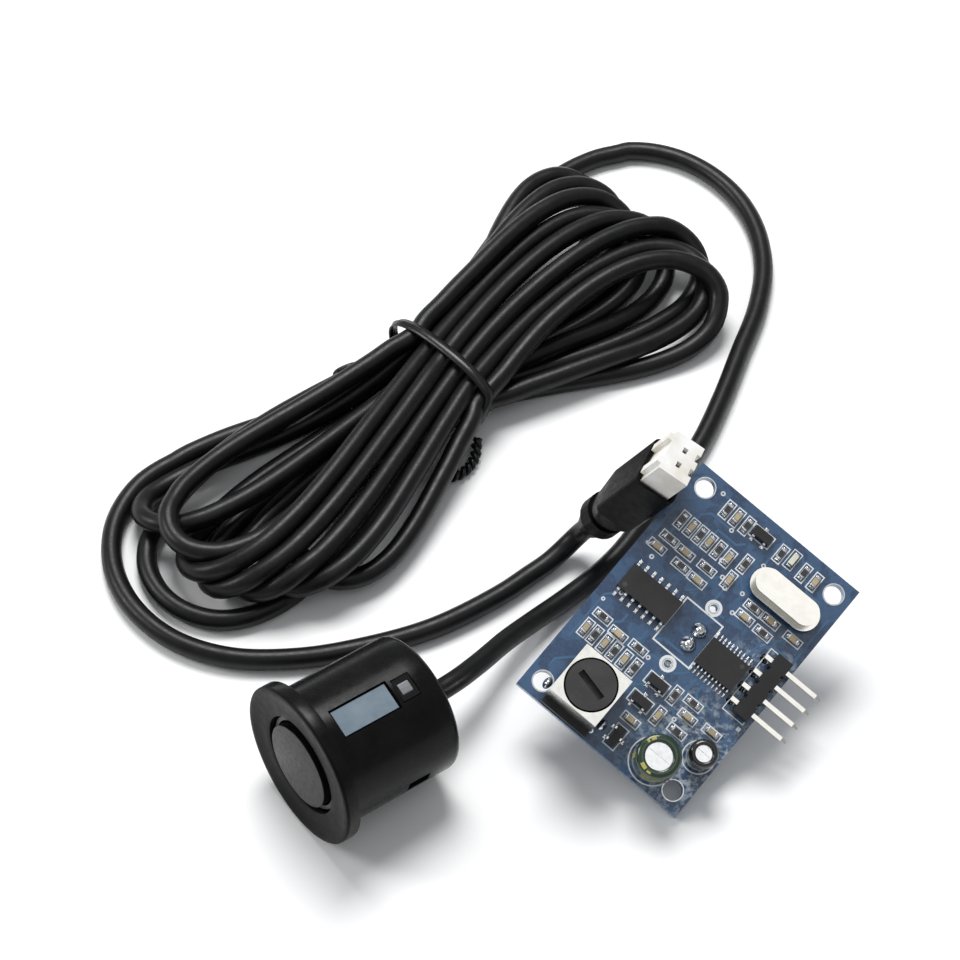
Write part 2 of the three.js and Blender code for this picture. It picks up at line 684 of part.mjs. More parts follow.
function plugHousing() {
  const { long, wide, out, inside } = HOUSING;
  const keyY = wide / 2 + KEY.proud;
  const keyX = long / 2 - KEY.inset;
  const keys = [-1, 1].map((side) => block(KEY.wide, KEY.deep, GAP, out, side * keyX, keyY));
  const body = join(block(long, wide, -inside, out), ...keys);
  const tools = [];
  for (const side of [-1, 1]) {
    const x = (side * WAYS.pitch) / 2;
    tools.push(block(WAYS.slotLong, WAYS.slotWide, -inside - OVERCUT, out + OVERCUT, x, 0));
    tools.push(block(WAYS.wellLong, WAYS.wellWide, -inside - OVERCUT, out - WAYS.front, x, 0));
    tools.push(block(NOTCH.wide, 2 * NOTCH.deep, out - NOTCH.long, out + OVERCUT, x, -wide / 2));
  }
  return cut(body, ...tools);
}

function plugContact(side) {
  const x = (side * WAYS.pitch) / 2;
  return cut(
    block(CONTACT.long, CONTACT.wide, -HOUSING.inside + CONTACT.backInset, HOUSING.out - CONTACT.near, x, 0),
    block(CONTACT.mouthLong, CONTACT.mouthWide, HOUSING.out - CONTACT.far, HOUSING.out, x, 0),
  );
}

function bootRelief() {
  const high = -BOOT.length - GAP;
  const low = high - RELIEF.length;
  return cut(
    post(RELIEF.endRadius, low, high, 0, 0, 20, RELIEF.startRadius),
    post(LEAD_BORE, low - OVERCUT, low + RELIEF.socketDepth, 0, 0, 16),
  );
}

function boot(group) {
  const plug = new THREE.Group();
  plug.add(piece("plug_boot", plugBoot(), LOOK.rubber()));
  plug.add(piece("boot_relief", bootRelief(), LOOK.rubber()));
  plug.add(piece("plug_housing", plugHousing(), LOOK.whitePlastic()));
  plug.add(piece("plug_contact_1", plugContact(-1), LOOK.tin()));
  plug.add(piece("plug_contact_2", plugContact(1), LOOK.tin()));

  const out = new THREE.Vector3(...PLUG_AXIS).normalize();
  const across = new THREE.Vector3(...PLUG_WAY).cross(out).normalize().negate();
  const way = new THREE.Vector3().crossVectors(across, out);
  plug.setRotationFromMatrix(new THREE.Matrix4().makeBasis(way, across, out));
  plug.position.set(...PLUG_MOUTH);
  group.add(plug);
}

// ---------------------------------------------------------------- whole sensor

function rangingSensor() {
  const sensor = new THREE.Group();
  sensor.add(rangingBoard());
  sensor.add(probe());
  lead(sensor);
  boot(sensor);
  return sensor;
}

export default rangingSensor();
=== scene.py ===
"""Looks for the ultrasonic distance sensor: a ranging board, a round probe and the long lead between them.

Everything is in the CAD frame. Shapes are given in millimetres and become metres when a piece is made.
"""
import math
import random

import bmesh
import bpy
import numpy as np
from mathutils import Matrix, Vector


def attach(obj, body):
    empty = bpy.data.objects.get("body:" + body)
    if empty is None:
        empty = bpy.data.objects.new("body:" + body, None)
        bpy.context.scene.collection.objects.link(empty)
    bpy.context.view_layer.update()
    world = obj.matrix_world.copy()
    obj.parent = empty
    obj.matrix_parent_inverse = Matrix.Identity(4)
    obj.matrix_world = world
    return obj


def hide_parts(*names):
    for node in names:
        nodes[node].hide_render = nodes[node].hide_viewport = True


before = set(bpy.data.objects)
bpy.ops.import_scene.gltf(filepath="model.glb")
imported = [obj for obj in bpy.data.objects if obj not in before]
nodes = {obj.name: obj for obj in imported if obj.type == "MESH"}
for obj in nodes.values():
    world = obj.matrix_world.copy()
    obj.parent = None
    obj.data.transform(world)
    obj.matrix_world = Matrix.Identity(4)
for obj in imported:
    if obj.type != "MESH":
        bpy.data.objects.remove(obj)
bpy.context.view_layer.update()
random.seed(7)

MM = 0.001


# ---------------------------------------------------------------- camera, floor and light

LENS, SENSOR_WIDTH = 102.54, 36
CAMERA_PLACE = (-0.01106, -0.21344, 0.3256)
LOOKING_DOWN = 52
MIDDLE = (0, 0.03, 0)
# Each lamp's place and width in metres, and its power in watts.
LAMPS = {
    "key_lamp": ((-0.05, 0.36, 0.72), 0.42, 5.6),
    "side_lamp": ((-0.62, 0.10, 0.42), 0.25, 1.6),
    "front_lamp": ((0.16, -0.22, 0.66), 0.36, 0.26),
}
SKY, SKY_STRENGTH = (0.96, 0.98, 1, 1), 0.36
FLOOR_HALF = 1.5


def link(item):
    bpy.context.scene.collection.objects.link(item)
    return item


def add_camera():
    data = bpy.data.cameras.new("camera")
    data.lens = LENS
    data.sensor_width = SENSOR_WIDTH
    camera = link(bpy.data.objects.new("camera", data))
    camera.location = CAMERA_PLACE
    camera.rotation_euler = (math.radians(90 - LOOKING_DOWN), 0, 0)
    bpy.context.scene.camera = camera


def add_studio():
    for name, (place, width, power) in LAMPS.items():
        data = bpy.data.lights.new(name, "AREA")
        data.shape = "DISK"
        data.size = width
        data.energy = power
        lamp = link(bpy.data.objects.new(name, data))
        lamp.location = place
        lamp.rotation_euler = (Vector(MIDDLE) - Vector(place)).to_track_quat("-Z", "Y").to_euler()
    world = bpy.data.worlds.new("studio")
    world.use_nodes = True
    sky = world.node_tree.nodes["Background"]
    sky.inputs["Color"].default_value = SKY
    sky.inputs["Strength"].default_value = SKY_STRENGTH
    bpy.context.scene.world = world
    bpy.context.scene.view_settings.view_transform = "Standard"


def add_floor():
    mesh = bpy.data.meshes.new("floor")
    bm = bmesh.new()
    bmesh.ops.create_grid(bm, x_segments=8, y_segments=8, size=FLOOR_HALF)
    bm.to_mesh(mesh)
    bm.free()
    floor = link(bpy.data.objects.new("floor", mesh))
    graph = Graph("pale_floor")
    pale = graph.ramp(graph.noise(40, 2), [(0.4, (0.93, 0.93, 0.93)), (0.6, (0.95, 0.95, 0.95))])
    mesh.materials.append(graph.finish(pale, 0.6))


# ---------------------------------------------------------------- materials

class Graph:
    """One material's node tree. Its texture space is the piece's own, in metres."""

    def __init__(self, name):
        self.material = bpy.data.materials.new(name)
        self.material.use_nodes = True
        self.tree = self.material.node_tree
        self.shader = self.tree.nodes["Principled BSDF"]
        self.point = self.tree.nodes.new("ShaderNodeTexCoord").outputs["Object"]

    def feed(self, socket, value):
        if isinstance(value, bpy.types.NodeSocket):
            self.tree.links.new(value, socket)
        elif socket.type == "RGBA" and len(value) == 3:
            socket.default_value = (*value, 1)
        else:
            socket.default_value = value

    def node(self, kind, output, inputs, **settings):
        """The named output of a new node, with its inputs and settings filled in."""
        node = self.tree.nodes.new("ShaderNode" + kind)
        for name, value in settings.items():
            setattr(node, name, value)
        for name, value in inputs.items():
            self.feed(node.inputs[name], value)
        return node.outputs[output]

    def noise(self, per_metre, detail=4, rough=0.5, space=None):
        inputs = {"Vector": space or self.point, "Scale": per_metre, "Detail": detail, "Roughness": rough}
        return self.node("TexNoise", "Fac", inputs)

    def cells(self, per_metre):
        return self.node("TexVoronoi", "Distance", {"Vector": self.point, "Scale": per_metre})

    def stretched(self, axis, amount):
        """The texture space squeezed along axis, so that noise draws out into lines along it."""
        turn = Vector((0, 0, 1)).rotation_difference(Vector(axis)).to_euler()
        inputs = {"Vector": self.point, "Rotation": tuple(turn), "Scale": (1, 1, amount)}
        return self.node("Mapping", "Vector", inputs, vector_type="TEXTURE")

    def maths(self, operation, a, b=0.0):
        return self.node("Math", 0, {0: a, 1: b}, operation=operation)

    def along(self, origin, axis):
        """How far a point lies along axis from origin, in metres."""
        shifted = self.node("VectorMath", "Vector", {0: self.point, 1: tuple(origin)}, operation="SUBTRACT")
        return self.node("VectorMath", "Value", {0: shifted, 1: tuple(axis)}, operation="DOT_PRODUCT")

    def distance(self, origin):
        return self.node("VectorMath", "Value", {0: self.point, 1: tuple(origin)}, operation="DISTANCE")

    def span(self, value, low, high, out_low=0.0, out_high=1.0):
        return self.node("MapRange", "Result", dict(enumerate((value, low, high, out_low, out_high))))

    def ramp(self, factor, stops):
        node = self.tree.nodes.new("ShaderNodeValToRGB")
        self.feed(node.inputs["Fac"], factor)
        while len(node.color_ramp.elements) < len(stops):
            node.color_ramp.elements.new(0.5)
        for element, (place, colour) in zip(node.color_ramp.elements, stops):
            element.position = place
            element.color = (*colour, 1)
        return node.outputs["Color"]

    def mix(self, factor, a, b):
        return self.node("Mix", 2, {"Factor": factor, 6: a, 7: b}, data_type="RGBA")

    def bump(self, height, depth):
        """A relief of depth metres. Several calls stack."""
        normal = self.shader.inputs["Normal"]
        inputs = {"Distance": depth, "Height": height}
        if normal.is_linked:
            inputs["Normal"] = normal.links[0].from_socket
        self.feed(normal, self.node("Bump", "Normal", inputs))

    def finish(self, colour, rough, **extra):
        self.feed(self.shader.inputs["Base Color"], colour)
        self.feed(self.shader.inputs["Roughness"], rough)
        for name, value in extra.items():
            self.feed(self.shader.inputs[name.replace("_", " ")], value)
        return self.material


def tinted(colour, amount):
    return tuple(min(1, c * amount) for c in colour)


def moulded(name, colour, rough, grain=9000, depth=4e-6, dust=0.05, coat=0.0, sheen=0.4):
    """Moulded plastic or rubber: fine grain, slow colour drift, patchy gloss and a little dust."""
    g = Graph(name)
    drift = g.ramp(g.noise(260, 3), [(0.3, tinted(colour, 0.8)), (0.7, tinted(colour, 1.25))])
    specks = g.span(g.noise(5200, 2, 0.7), 0.66, 0.74, 0, dust)
    g.bump(g.noise(grain, 3), depth)
    g.bump(g.noise(600, 2), depth * 4)
    gloss = g.span(g.noise(900, 4, 0.65), 0.3, 0.7, rough * 0.82, min(1, rough * 1.22))
    colour = g.mix(specks, drift, (0.55, 0.55, 0.54))
    return g.finish(colour, gloss, Coat_Weight=coat, Coat_Roughness=0.12, Specular_IOR_Level=sheen)


def metal(name, colour, rough, axis=None, depth=3e-6, tarnish=0.25):
    """Bare or plated metal: drawn lines along axis, dull patches and fine scratches."""
    g = Graph(name)
    patches = g.span(g.noise(700, 5, 0.6), 0.42, 0.75, 0, tarnish)
    shade = g.mix(patches, colour, tinted(colour, 0.55))
    lines = g.noise(9000, 3, 0.6, g.stretched(axis, 30)) if axis else g.noise(7000, 4, 0.6)
    g.bump(lines, depth)
    gloss = g.span(g.noise(1500, 4, 0.7), 0.3, 0.75, rough * 0.7, rough * 1.5)
    return g.finish(shade, gloss, Metallic=1.0)


def printed(name, colour, rough):
    """Ink or glaze: slightly worn, with pinholes."""
    g = Graph(name)
    worn = g.span(g.noise(2600, 4, 0.7), 0.58, 0.78, 0, 0.45)
    g.bump(g.noise(8000, 2), 3e-6)
    gloss = g.span(g.noise(1200, 3), 0.3, 0.7, rough, rough * 1.3)
    return g.finish(g.mix(worn, colour, tinted(colour, 0.6)), gloss)


def posed(place, *turns):
    """A local frame at place in millimetres, turned by each (degrees, axis) in turn."""
    matrix = Matrix.Translation(Vector(place))
    for degrees, axis in turns:
        matrix = matrix @ Matrix.Rotation(math.radians(degrees), 4, axis)
    return matrix


def plug_matrix():
    out = Vector((0.404, -0.26, 0.877)).normalized()
    way = Vector((0.408, 0.909, 0.081)).cross(out).cross(out).normalized() * -1
    columns = Matrix((way, out.cross(way), out)).transposed().to_4x4()
    return Matrix.Translation(Vector((14.44, 20.56, 28.1))) @ columns


BOARD = posed((18.02, 3.32, 12.62), (47.5, "Z"), (-18.2, "Y"), (20.5, "X"))
PROBE = posed((-35.26, -17.09, 11.91), (216.7, "Z"), (90 - 5.5, "Y"))
PLUG = plug_matrix()


def at(place, x, y, z):
    """A point of a local frame in millimetres, as metres in the CAD frame."""
    return (place @ Vector((x, y, z))) * MM


def axis_of(place, way):
    return tuple((place.to_3x3() @ Vector(way)).normalized())


def solder_mask():
    """Blue lacquer over copper and glass cloth, with flux left by the capacitors and the header."""
    g = Graph("solder_mask")
    weave = g.span(g.cells(2600), 0.1, 0.6)
    pour = g.span(g.noise(330, 2, 0.4), 0.49, 0.53)
    blue = g.mix(pour, (0.012, 0.042, 0.105), (0.024, 0.075, 0.165))
    blue = g.mix(g.span(g.noise(1700, 5, 0.7), 0.45, 0.75, 0, 0.45), blue, (0.07, 0.13, 0.22))
    flux = g.span(g.distance(at(BOARD, -13, -11, 0)), 0.004, 0.0115, 1, 0)
    flux = g.maths("MAXIMUM", flux, g.span(g.distance(at(BOARD, 1, -12.6, 0)), 0.002, 0.009, 0.9, 0))
    flux = g.maths("MULTIPLY", flux, g.span(g.noise(950, 6, 0.72), 0.47, 0.60, 0, 0.72))
    above = g.along(at(BOARD, 0, 0, 0), axis_of(BOARD, (0, 0, 1)))
    edge = g.maths("MULTIPLY", g.span(above, -0.0015, -0.00142), g.span(above, -0.00016, -0.0001, 1, 0))
    colour = g.mix(flux, blue, (0.55, 0.62, 0.68))
    colour = g.mix(g.maths("MULTIPLY", edge, 0.75), colour, (0.13, 0.26, 0.42))
    g.bump(weave, 5e-6)
    g.bump(pour, 1.6e-5)
    rough = g.maths("ADD", flux, g.span(g.noise(1300, 4), 0.3, 0.7, 0.24, 0.42))
    return g.finish(colour, rough, Coat_Weight=0.25, Coat_Roughness=0.15)


def drifting(g, drift, dark, light, *reliefs):
    """A shade that drifts from dark to light, over reliefs. drift and each relief start with their noise."""
    *noise, low, high = drift
    shade = g.ramp(g.noise(*noise), [(low, dark), (high, light)])
    for *noise, depth in reliefs:
        g.bump(g.noise(*noise), depth)
    return shade


def cord_jacket():
    """Drawn PVC: slow ripples and grain, soft sheen, scuffs where turns rub."""
    g = Graph("cord_jacket")
    shade = drifting(g, (420, 4, 0.6, 0.3, 0.72), (0.0032, 0.0032, 0.0034), (0.0072, 0.0072, 0.0075),
                     (3800, 4, 0.6, 9e-6), (700, 2, 2.4e-5))
    scuffs = g.span(g.noise(1900, 5, 0.75), 0.62, 0.8, 0, 0.16)
    gloss = g.span(g.noise(1100, 4, 0.7), 0.3, 0.72, 0.30, 0.46)
    return g.finish(g.mix(scuffs, shade, (0.06, 0.06, 0.06)), gloss, Specular_IOR_Level=0.28)


def polished_black():
    """The probe's shell: polished black with fine handling scratches and a few dull smears."""
    g = Graph("polished_black")
    scratched = g.stretched(axis_of(PROBE, (1, 0.3, 0)), 14)
    shade = drifting(g, (300, 3, 0.5, 0.3, 0.7), (0.0035, 0.0035, 0.0038), (0.0065, 0.0065, 0.007),
                     (5200, 5, 0.75, scratched, 2.2e-6), (240, 2, 1.4e-5))
    gloss = g.span(g.noise(800, 6, 0.7), 0.35, 0.75, 0.20, 0.36)
    return g.finish(shade, gloss, Specular_IOR_Level=0.13)


def sleeve_silicone():
    """Pale silicone in the windows. Near the front face it is coloured black: painted shade for the deep
    narrow groove there.
    """
    g = Graph("sleeve_silicone")
    pale = g.ramp(g.noise(500, 5, 0.6), [(0.3, (0.115, 0.165, 0.21)), (0.7, (0.17, 0.225, 0.27))])
    # front is 1 near the front face, where the silicone is coloured black as painted shade for the groove.
    front = g.span(g.along(at(PROBE, 0, 0, 0), axis_of(PROBE, (0, 0, 1))), -0.0026, -0.0022)
    g.bump(g.noise(2400, 4, 0.6), 1.2e-5)
    rough = g.span(g.noise(900, 3), 0.3, 0.7, 0.34, 0.5)
    colour = g.mix(front, pale, (0.006, 0.006, 0.006))
    return g.finish(colour, rough, Subsurface_Weight=0.12, Subsurface_Scale=0.0006)


def cup_paint():
    """The cup's closed end: dark grey satin paint with a fine turned pattern."""
    g = Graph("cup_paint")
    g.bump(g.maths("SINE", g.maths("MULTIPLY", g.distance(at(PROBE, 0, 0, 0.45)), 30000)), 1.6e-6)
    shade = drifting(g, (700, 5, 0.65, 0.3, 0.7), (0.012, 0.012, 0.0125), (0.019, 0.019, 0.0195),
                     (8000, 3, 0.6, 5e-6))
    return g.finish(shade, g.span(g.noise(1500, 4), 0.3, 0.7, 0.34, 0.48), Specular_IOR_Level=0.25)


def shrink_sleeve(name, colour):
    """A capacitor's shrunk plastic sleeve: glossy, with a slow ripple."""
    g = Graph(name)
    shade = drifting(g, (900, 4, 0.5, 0.3, 0.7), tinted(colour, 0.8), tinted(colour, 1.3), (1500, 3, 1.0e-5))
    gloss = g.span(g.noise(1600, 4), 0.3, 0.7, 0.16, 0.3)
    return g.finish(shade, gloss, Coat_Weight=0.5, Coat_Roughness=0.08)


BOARD_X, BOARD_Y, BOARD_Z = (axis_of(BOARD, way) for way in ((1, 0, 0), (0, 1, 0), (0, 0, 1)))

LOOKS = {
    "mask": solder_mask(),
    "track": printed("masked_track", (0.045, 0.115, 0.22), 0.26),
    "ink": printed("board_ink", (0.74, 0.77, 0.79), 0.6),
    "solder": metal("solder", (0.78, 0.79, 0.81), 0.16, depth=3e-6, tarnish=0.3),
    "pad_metal": metal("tinned_pad", (0.62, 0.64, 0.67), 0.28, depth=8e-6),
    "lead": metal("chip_lead", (0.7, 0.71, 0.73), 0.24, depth=4e-6),
    "black": moulded("matt_black", (0.013, 0.013, 0.014), 0.5),
    "epoxy": moulded("chip_epoxy", (0.020, 0.018, 0.018), 0.42, grain=14000, depth=6e-6),
    "resistor": moulded("resistor_glaze", (0.012, 0.012, 0.014), 0.25, coat=0.4),
    "alumina": moulded("alumina", (0.62, 0.62, 0.6), 0.55),
    "tan": moulded("capacitor_ceramic", (0.42, 0.35, 0.23), 0.4, grain=12000),
    "grey_dot": printed("pin_dot", (0.045, 0.045, 0.048), 0.5),
    "jacket": cord_jacket(),
    "shell": polished_black(),
    "flange": moulded("flange_black", (0.0060, 0.0052, 0.0062), 0.34, dust=0.02, sheen=0.05),
    "sleeve": sleeve_silicone(),
    "cup": cup_paint(),
    "rubber": moulded("black_rubber", (0.0035, 0.0033, 0.0036), 0.42,
                      grain=5200, depth=1.2e-5, dust=0.02, sheen=0.12),
    "tie": moulded("tie_pvc", (0.006, 0.006, 0.0065), 0.3, dust=0.08),
    "white": moulded("cream_nylon", (0.98, 0.93, 0.82), 0.36, dust=0.0),
    "socket": moulded("socket_nylon", (0.80, 0.77, 0.70), 0.4, dust=0.04),
    "can": metal("drawn_can", (0.80, 0.79, 0.75), 0.17, BOARD_Z, tarnish=0.3),
    "crystal": metal("crystal_metal", (0.86, 0.84, 0.78), 0.13, BOARD_Y, tarnish=0.2),
    "pin": metal("plated_pin", (0.84, 0.82, 0.76), 0.16, BOARD_Y, tarnish=0.2),
    "brass": metal("contact_brass", (0.75, 0.60, 0.33), 0.24),
    "copper": metal("enamelled_copper", (0.70, 0.30, 0.12), 0.25, tarnish=0.5),
    "aluminium": metal("vent_aluminium", (0.84, 0.84, 0.85), 0.2, BOARD_X, tarnish=0.12),
    "ferrite": moulded("ferrite", (0.040, 0.039, 0.039), 0.45, grain=7000, depth=1.4e-5, dust=0.12),
    "green": shrink_sleeve("green_sleeve", (0.012, 0.034, 0.017)),
    "black_sleeve": shrink_sleeve("black_sleeve", (0.008, 0.008, 0.009)),
    "nib": moulded("clear_nib", (0.16, 0.17, 0.18), 0.3, dust=0.0, coat=0.3),
    "yellow": printed("sleeve_print", (0.42, 0.40, 0.10), 0.3),
    "ceramic": moulded("sintered_ceramic", (0.55, 0.5, 0.4), 0.6),
    "foam": moulded("damping_foam", (0.05, 0.05, 0.05), 0.9, grain=2500, depth=8e-5),
    "potting": moulded("potting", (0.012, 0.012, 0.013), 0.5),
    "lens": moulded("clear_lens", (0.62, 0.62, 0.52), 0.2, coat=0.5, dust=0.0),
}

# The CAD nodes by look. A name that ends in _ stands for a numbered set.
NODE_LOOKS = {
    "mask": "circuit_board",
    "black": "header_body transformer_base transformer_bobbin",
    "pin": "header_pin_ socket_pin_",
    "can": "transformer_can",
    "copper": "transformer_winding",
    "ferrite": "tuning_core",
    "crystal": "crystal_can crystal_base",
    "aluminium": "large_capacitor_can small_capacitor_can",
    "green": "large_capacitor_sleeve",
    "black_sleeve": "small_capacitor_sleeve",
    "rubber": "large_capacitor_bung small_capacitor_bung cable_grommet plug_boot boot_relief",
    "epoxy": "amplifier_chip controller_chip transistor_",
    "lens": "status_light",
    "socket": "probe_socket",
    "shell": "probe_shell",
    "sleeve": "silicone_sleeve",
    "cup": "transducer_cup",
    "ceramic": "piezo_disc",
    "foam": "damping_pad",
    "potting": "potting",
    "jacket": "probe_cable plug_cable cable_hank",
    "tie": "cable_tie",
    "white": "plug_housing",
    "brass": "plug_contact_",
}


def dress_nodes():
    looks = {name: look for look, names in NODE_LOOKS.items() for name in names.split()}
    for name, node in nodes.items():
        look = looks.get(name) or looks[name.rstrip("0123456789")]
        for slot in node.material_slots:
            slot.material = LOOKS[look]


# ---------------------------------------------------------------- mesh building

SHARP = math.radians(35)


def turned(x, y, turn, a, b=0.0):
    """The spot (a, b) turned by turn degrees and moved to x, y."""
    c, s = math.cos(math.radians(turn)), math.sin(math.radians(turn))
    return x + a * c - b * s, y + a * s + b * c


class Solid:
    """Closed bodies drawn in a local frame in millimetres, which become one piece that rides on body."""

    def __init__(self, place=Matrix.Identity(4), body="probe_lead"):
        self.bm = bmesh.new()
        self.place = place
        self.body = body

    def loft(self, rings, loop=False, look=0):
        """Joins rings of equal count in turn, and closes the ends or joins the last ring to the first."""
        rows = [[self.bm.verts.new(point) for point in ring] for ring in rings]
        ends = [] if loop else [rows[0][::-1], rows[-1]]
        if loop:
            rows.append(rows[0])
        for low, high in zip(rows, rows[1:]):
            for i in range(len(low)):
                j = (i + 1) % len(low)
                self.bm.faces.new((low[i], low[j], high[j], high[i])).material_index = look
        for end in ends:
            self.bm.faces.new(end).material_index = look

    def prism(self, outline, low, high):
        self.loft([[(x, y, z) for x, y in outline] for z in (low, high)])

    def block(self, centre, size, turn=0, taper=1.0, look=0):
        """A box on its base centre, turned about Z, its top narrowed by taper."""
        x, y, z = centre
        rings = []
        for height, k in ((z, 1.0), (z + size[2], taper)):
            a, b = size[0] / 2 * k, size[1] / 2 * k
            corners = [(-a, -b), (a, -b), (a, b), (-a, b)]
            rings.append([(*turned(x, y, turn, *corner), height) for corner in corners])
        self.loft(rings, look=look)

    def lathe(self, profile, x=0.0, y=0.0, sides=20, long=1.0, turn=0):
        """Turns (radius, z) pairs about Z at x, y, drawn out by long along the turned X."""
        rings = []
        for radius, z in profile:
            spots = [math.tau * i / sides for i in range(sides)]
            spots = [(radius * long * math.cos(t), radius * math.sin(t)) for t in spots]
            rings.append([(*turned(x, y, turn, *spot), z) for spot in spots])
        self.loft(rings)

    def revolve(self, outline, x, y, sides, start=0, sweep=360, look=0):
        """Carries a closed outline of (radius, z) pairs through sweep degrees about Z at x, y."""
        rings = []
        for i in range(sides + (sweep < 360)):
            t = math.radians(start + sweep * i / sides)
            rings.append([(x + r * math.cos(t), y + r * math.sin(t), z) for r, z in outline])
        self.loft(rings, loop=sweep == 360, look=look)

    def ring(self, x, y, inner, outer, low, high, sides=28):
        self.revolve([(inner, low), (outer, low), (outer, high), (inner, high)], x, y, sides)

    def ribbon(self, points, width, low, high):
        """A flat strip of that width along points (x, y)."""
        line = [Vector(p) for p in points]
        rings = []
        for i, p in enumerate(line):
            ways = [b - a for a, b in zip(line[max(0, i - 1):i + 1], line[max(1, i):i + 2]) if b != a]
            ways = [way.normalized() for way in ways]
            way = sum(ways, Vector((0, 0))).normalized()
            side = Vector((-way.y, way.x)) * (width / 2) / max(0.5, way.dot(ways[0]))
            a, b = p + side, p - side
            rings.append([(*a, low), (*b, low), (*b, high), (*a, high)])
        self.loft(rings)

    def tube(self, points, section, up=(0, 0, 1)):
        """Sweeps a closed section (side, up) along points."""
        line = [Vector(p) for p in points]
        rings = []
        for i, p in enumerate(line):
            way = (line[min(i + 1, len(line) - 1)] - line[max(i - 1, 0)]).normalized()
            side = way.cross(Vector(up)).normalized()
            top = side.cross(way)
            rings.append([tuple(p + side * a + top * b) for a, b in section])
        self.loft(rings)

    def crease(self):
        """Marks the edges that stay sharp on a smooth piece."""
        bmesh.ops.recalc_face_normals(self.bm, faces=self.bm.faces)
        for edge in self.bm.edges:
            edge.smooth = edge.calc_face_angle(0) < SHARP

    def piece(self, name, slot, *looks, bevel=0.0, smooth=False, segments=2):
        bmesh.ops.remove_doubles(self.bm, verts=self.bm.verts, dist=1e-5)
        bmesh.ops.recalc_face_normals(self.bm, faces=self.bm.faces)
        mesh = bpy.data.meshes.new(name)
        self.bm.to_mesh(mesh)
        self.bm.free()
        mesh.transform(Matrix.Scale(MM, 4) @ self.place)
        for look in looks:
            mesh.materials.append(LOOKS[look])
        item = link(bpy.data.objects.new(name, mesh))
        mesh.polygons.foreach_set("use_smooth", [smooth] * len(mesh.polygons))
        if bevel:
            rounding = item.modifiers.new("rounding", "BEVEL")
            rounding.width = bevel * MM
            rounding.segments = segments
            rounding.limit_method = "ANGLE"
            rounding.angle_limit = SHARP
        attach(item, self.body)
        return item


# ---------------------------------------------------------------- the lead

CORD_RADIUS = 1.55
CORD = 2 * CORD_RADIUS
CORD_STEP = 1.5

PROBE_ROUTE = [
    (-16.8, -3.4, 9.2), (-14.3, -1.1, 8.6), (-11.0, 3.0, 7.0), (-7.4, 8.0, 5.0), (-3.4, 12.8, 3.0),
    (1.0, 17.2, 1.9), (5.6, 21.6, 1.6), (9.2, 25.6, 1.6), (13.2, 31.6, 1.6), (17.8, 39.0, 1.6),
    (22.5, 47.0, 1.6), (26.3, 56.0, 1.6), (29.6, 65.2, 1.6), (32.8, 74.3, 1.6), (34.3, 83.0, 1.6),
    (33.6, 91.2, 1.6), (30.9, 98.3, 1.6), (26.4, 104.0, 1.6), (21.0, 107.6, 1.6), (14.7, 109.0, 1.6),
    (8.0, 107.6, 1.6), (2.4, 103.4, 1.6),
]
PLUG_ROUTE = [
    (4.9, 26.7, 7.4), (3.6, 27.3, 4.8), (1.7, 26.4, 2.9), (-0.9, 24.2, 1.9), (-4.0, 21.8, 1.6),
    (-8.2, 18.4, 1.6), (-17.8, 12.6, 1.6), (-27.6, 9.2, 1.6), (-37.3, 7.3, 1.6), (-47.2, 7.5, 1.6),
    (-55.5, 10.7, 1.6), (-61.8, 16.8, 1.6), (-65.0, 24.0, 1.6), (-65.2, 31.6, 1.6), (-62.0, 38.9, 1.6),
    (-55.5, 44.2, 1.6), (-48.6, 47.8, 1.6),
]

# The hank's own frame: s runs along it from the tie, v across it, z up.
WAIST = np.array([-17.2, 57.8])
ALONG = np.array([math.cos(math.radians(45)), math.sin(math.radians(45))])
ACROSS = np.array([-ALONG[1], ALONG[0]])
FAN = 30
# Each turn of the hank: its run from the far fan by the tie to the near fan, as three (v, z) pairs, its near
# fold's tip (s, v, z), then its lower run back by the tie and its far fold's tip in the same way.
TURNS = [
    ((16.8, 1.6), (7.9, 1.6), (11.3, 2.4), (-57.2, -0.4, 1.6),
     (-13.3, 1.6), (-7.8, 1.6), (-25.0, 1.6), (44.6, -18.0, 1.8)),
    ((-9.5, 4.0), (-7.6, 6.9), (-17.0, 1.7), (-43.5, -13.5, 4.6),
     (-10.2, 1.6), (-6.2, 4.25), (-18.4, 1.6), (46.8, -13.0, 3.0)),
    ((-8.2, 6.0), (-4.6, 6.9), (-14.8, 3.6), (-46.0, -11.0, 2.8),
     (-7.1, 1.6), (-4.7, 1.6), (-15.3, 1.6), (48.8, -9.4, 4.4)),
    ((-5.0, 7.0), (-1.6, 6.9), (-12.0, 4.6), (-50.0, -8.0, 3.0),
     (-4.0, 1.6), (-3.1, 4.25), (-12.2, 1.6), (46.2, -4.6, 4.6)),
    ((-0.9, 7.2), (1.5, 6.9), (-8.9, 4.8), (-53.0, -5.0, 2.8),
     (-0.9, 1.6), (-1.6, 1.6), (-4.4, 1.6), (45.6, 0.6, 4.8)),
    ((3.8, 7.4), (4.6, 6.9), (-5.8, 4.8), (-53.6, -1.6, 3.0),
     (2.2, 1.6), (1.6, 1.6), (-1.3, 1.6), (46.2, 4.0, 5.0)),
    ((7.4, 7.4), (7.6, 6.9), (6.4, 4.7), (-53.0, 1.9, 4.0),
     (-2.6, 4.6), (0.0, 4.25), (1.8, 1.6), (47.6, 7.6, 5.0)),
    ((10.6, 7.0), (6.2, 4.25), (8.4, 1.6), (-51.6, 11.2, 1.6),
     (5.3, 1.6), (3.1, 4.25), (4.9, 1.6), (48.2, 13.2, 5.4)),
]
LAST_FAR, LAST_TIE = (14.3, 3.2), (4.8, 1.6)
# The bundle under the tie, the height of its middle, and how far along it and how firmly the tie holds.
BUNDLE = {"half_width": 10.5, "half_height": 4.95, "middle": 5.7, "roundness": 2.4}
TIE_REACH, TIE_GRIP = 3, 0.6
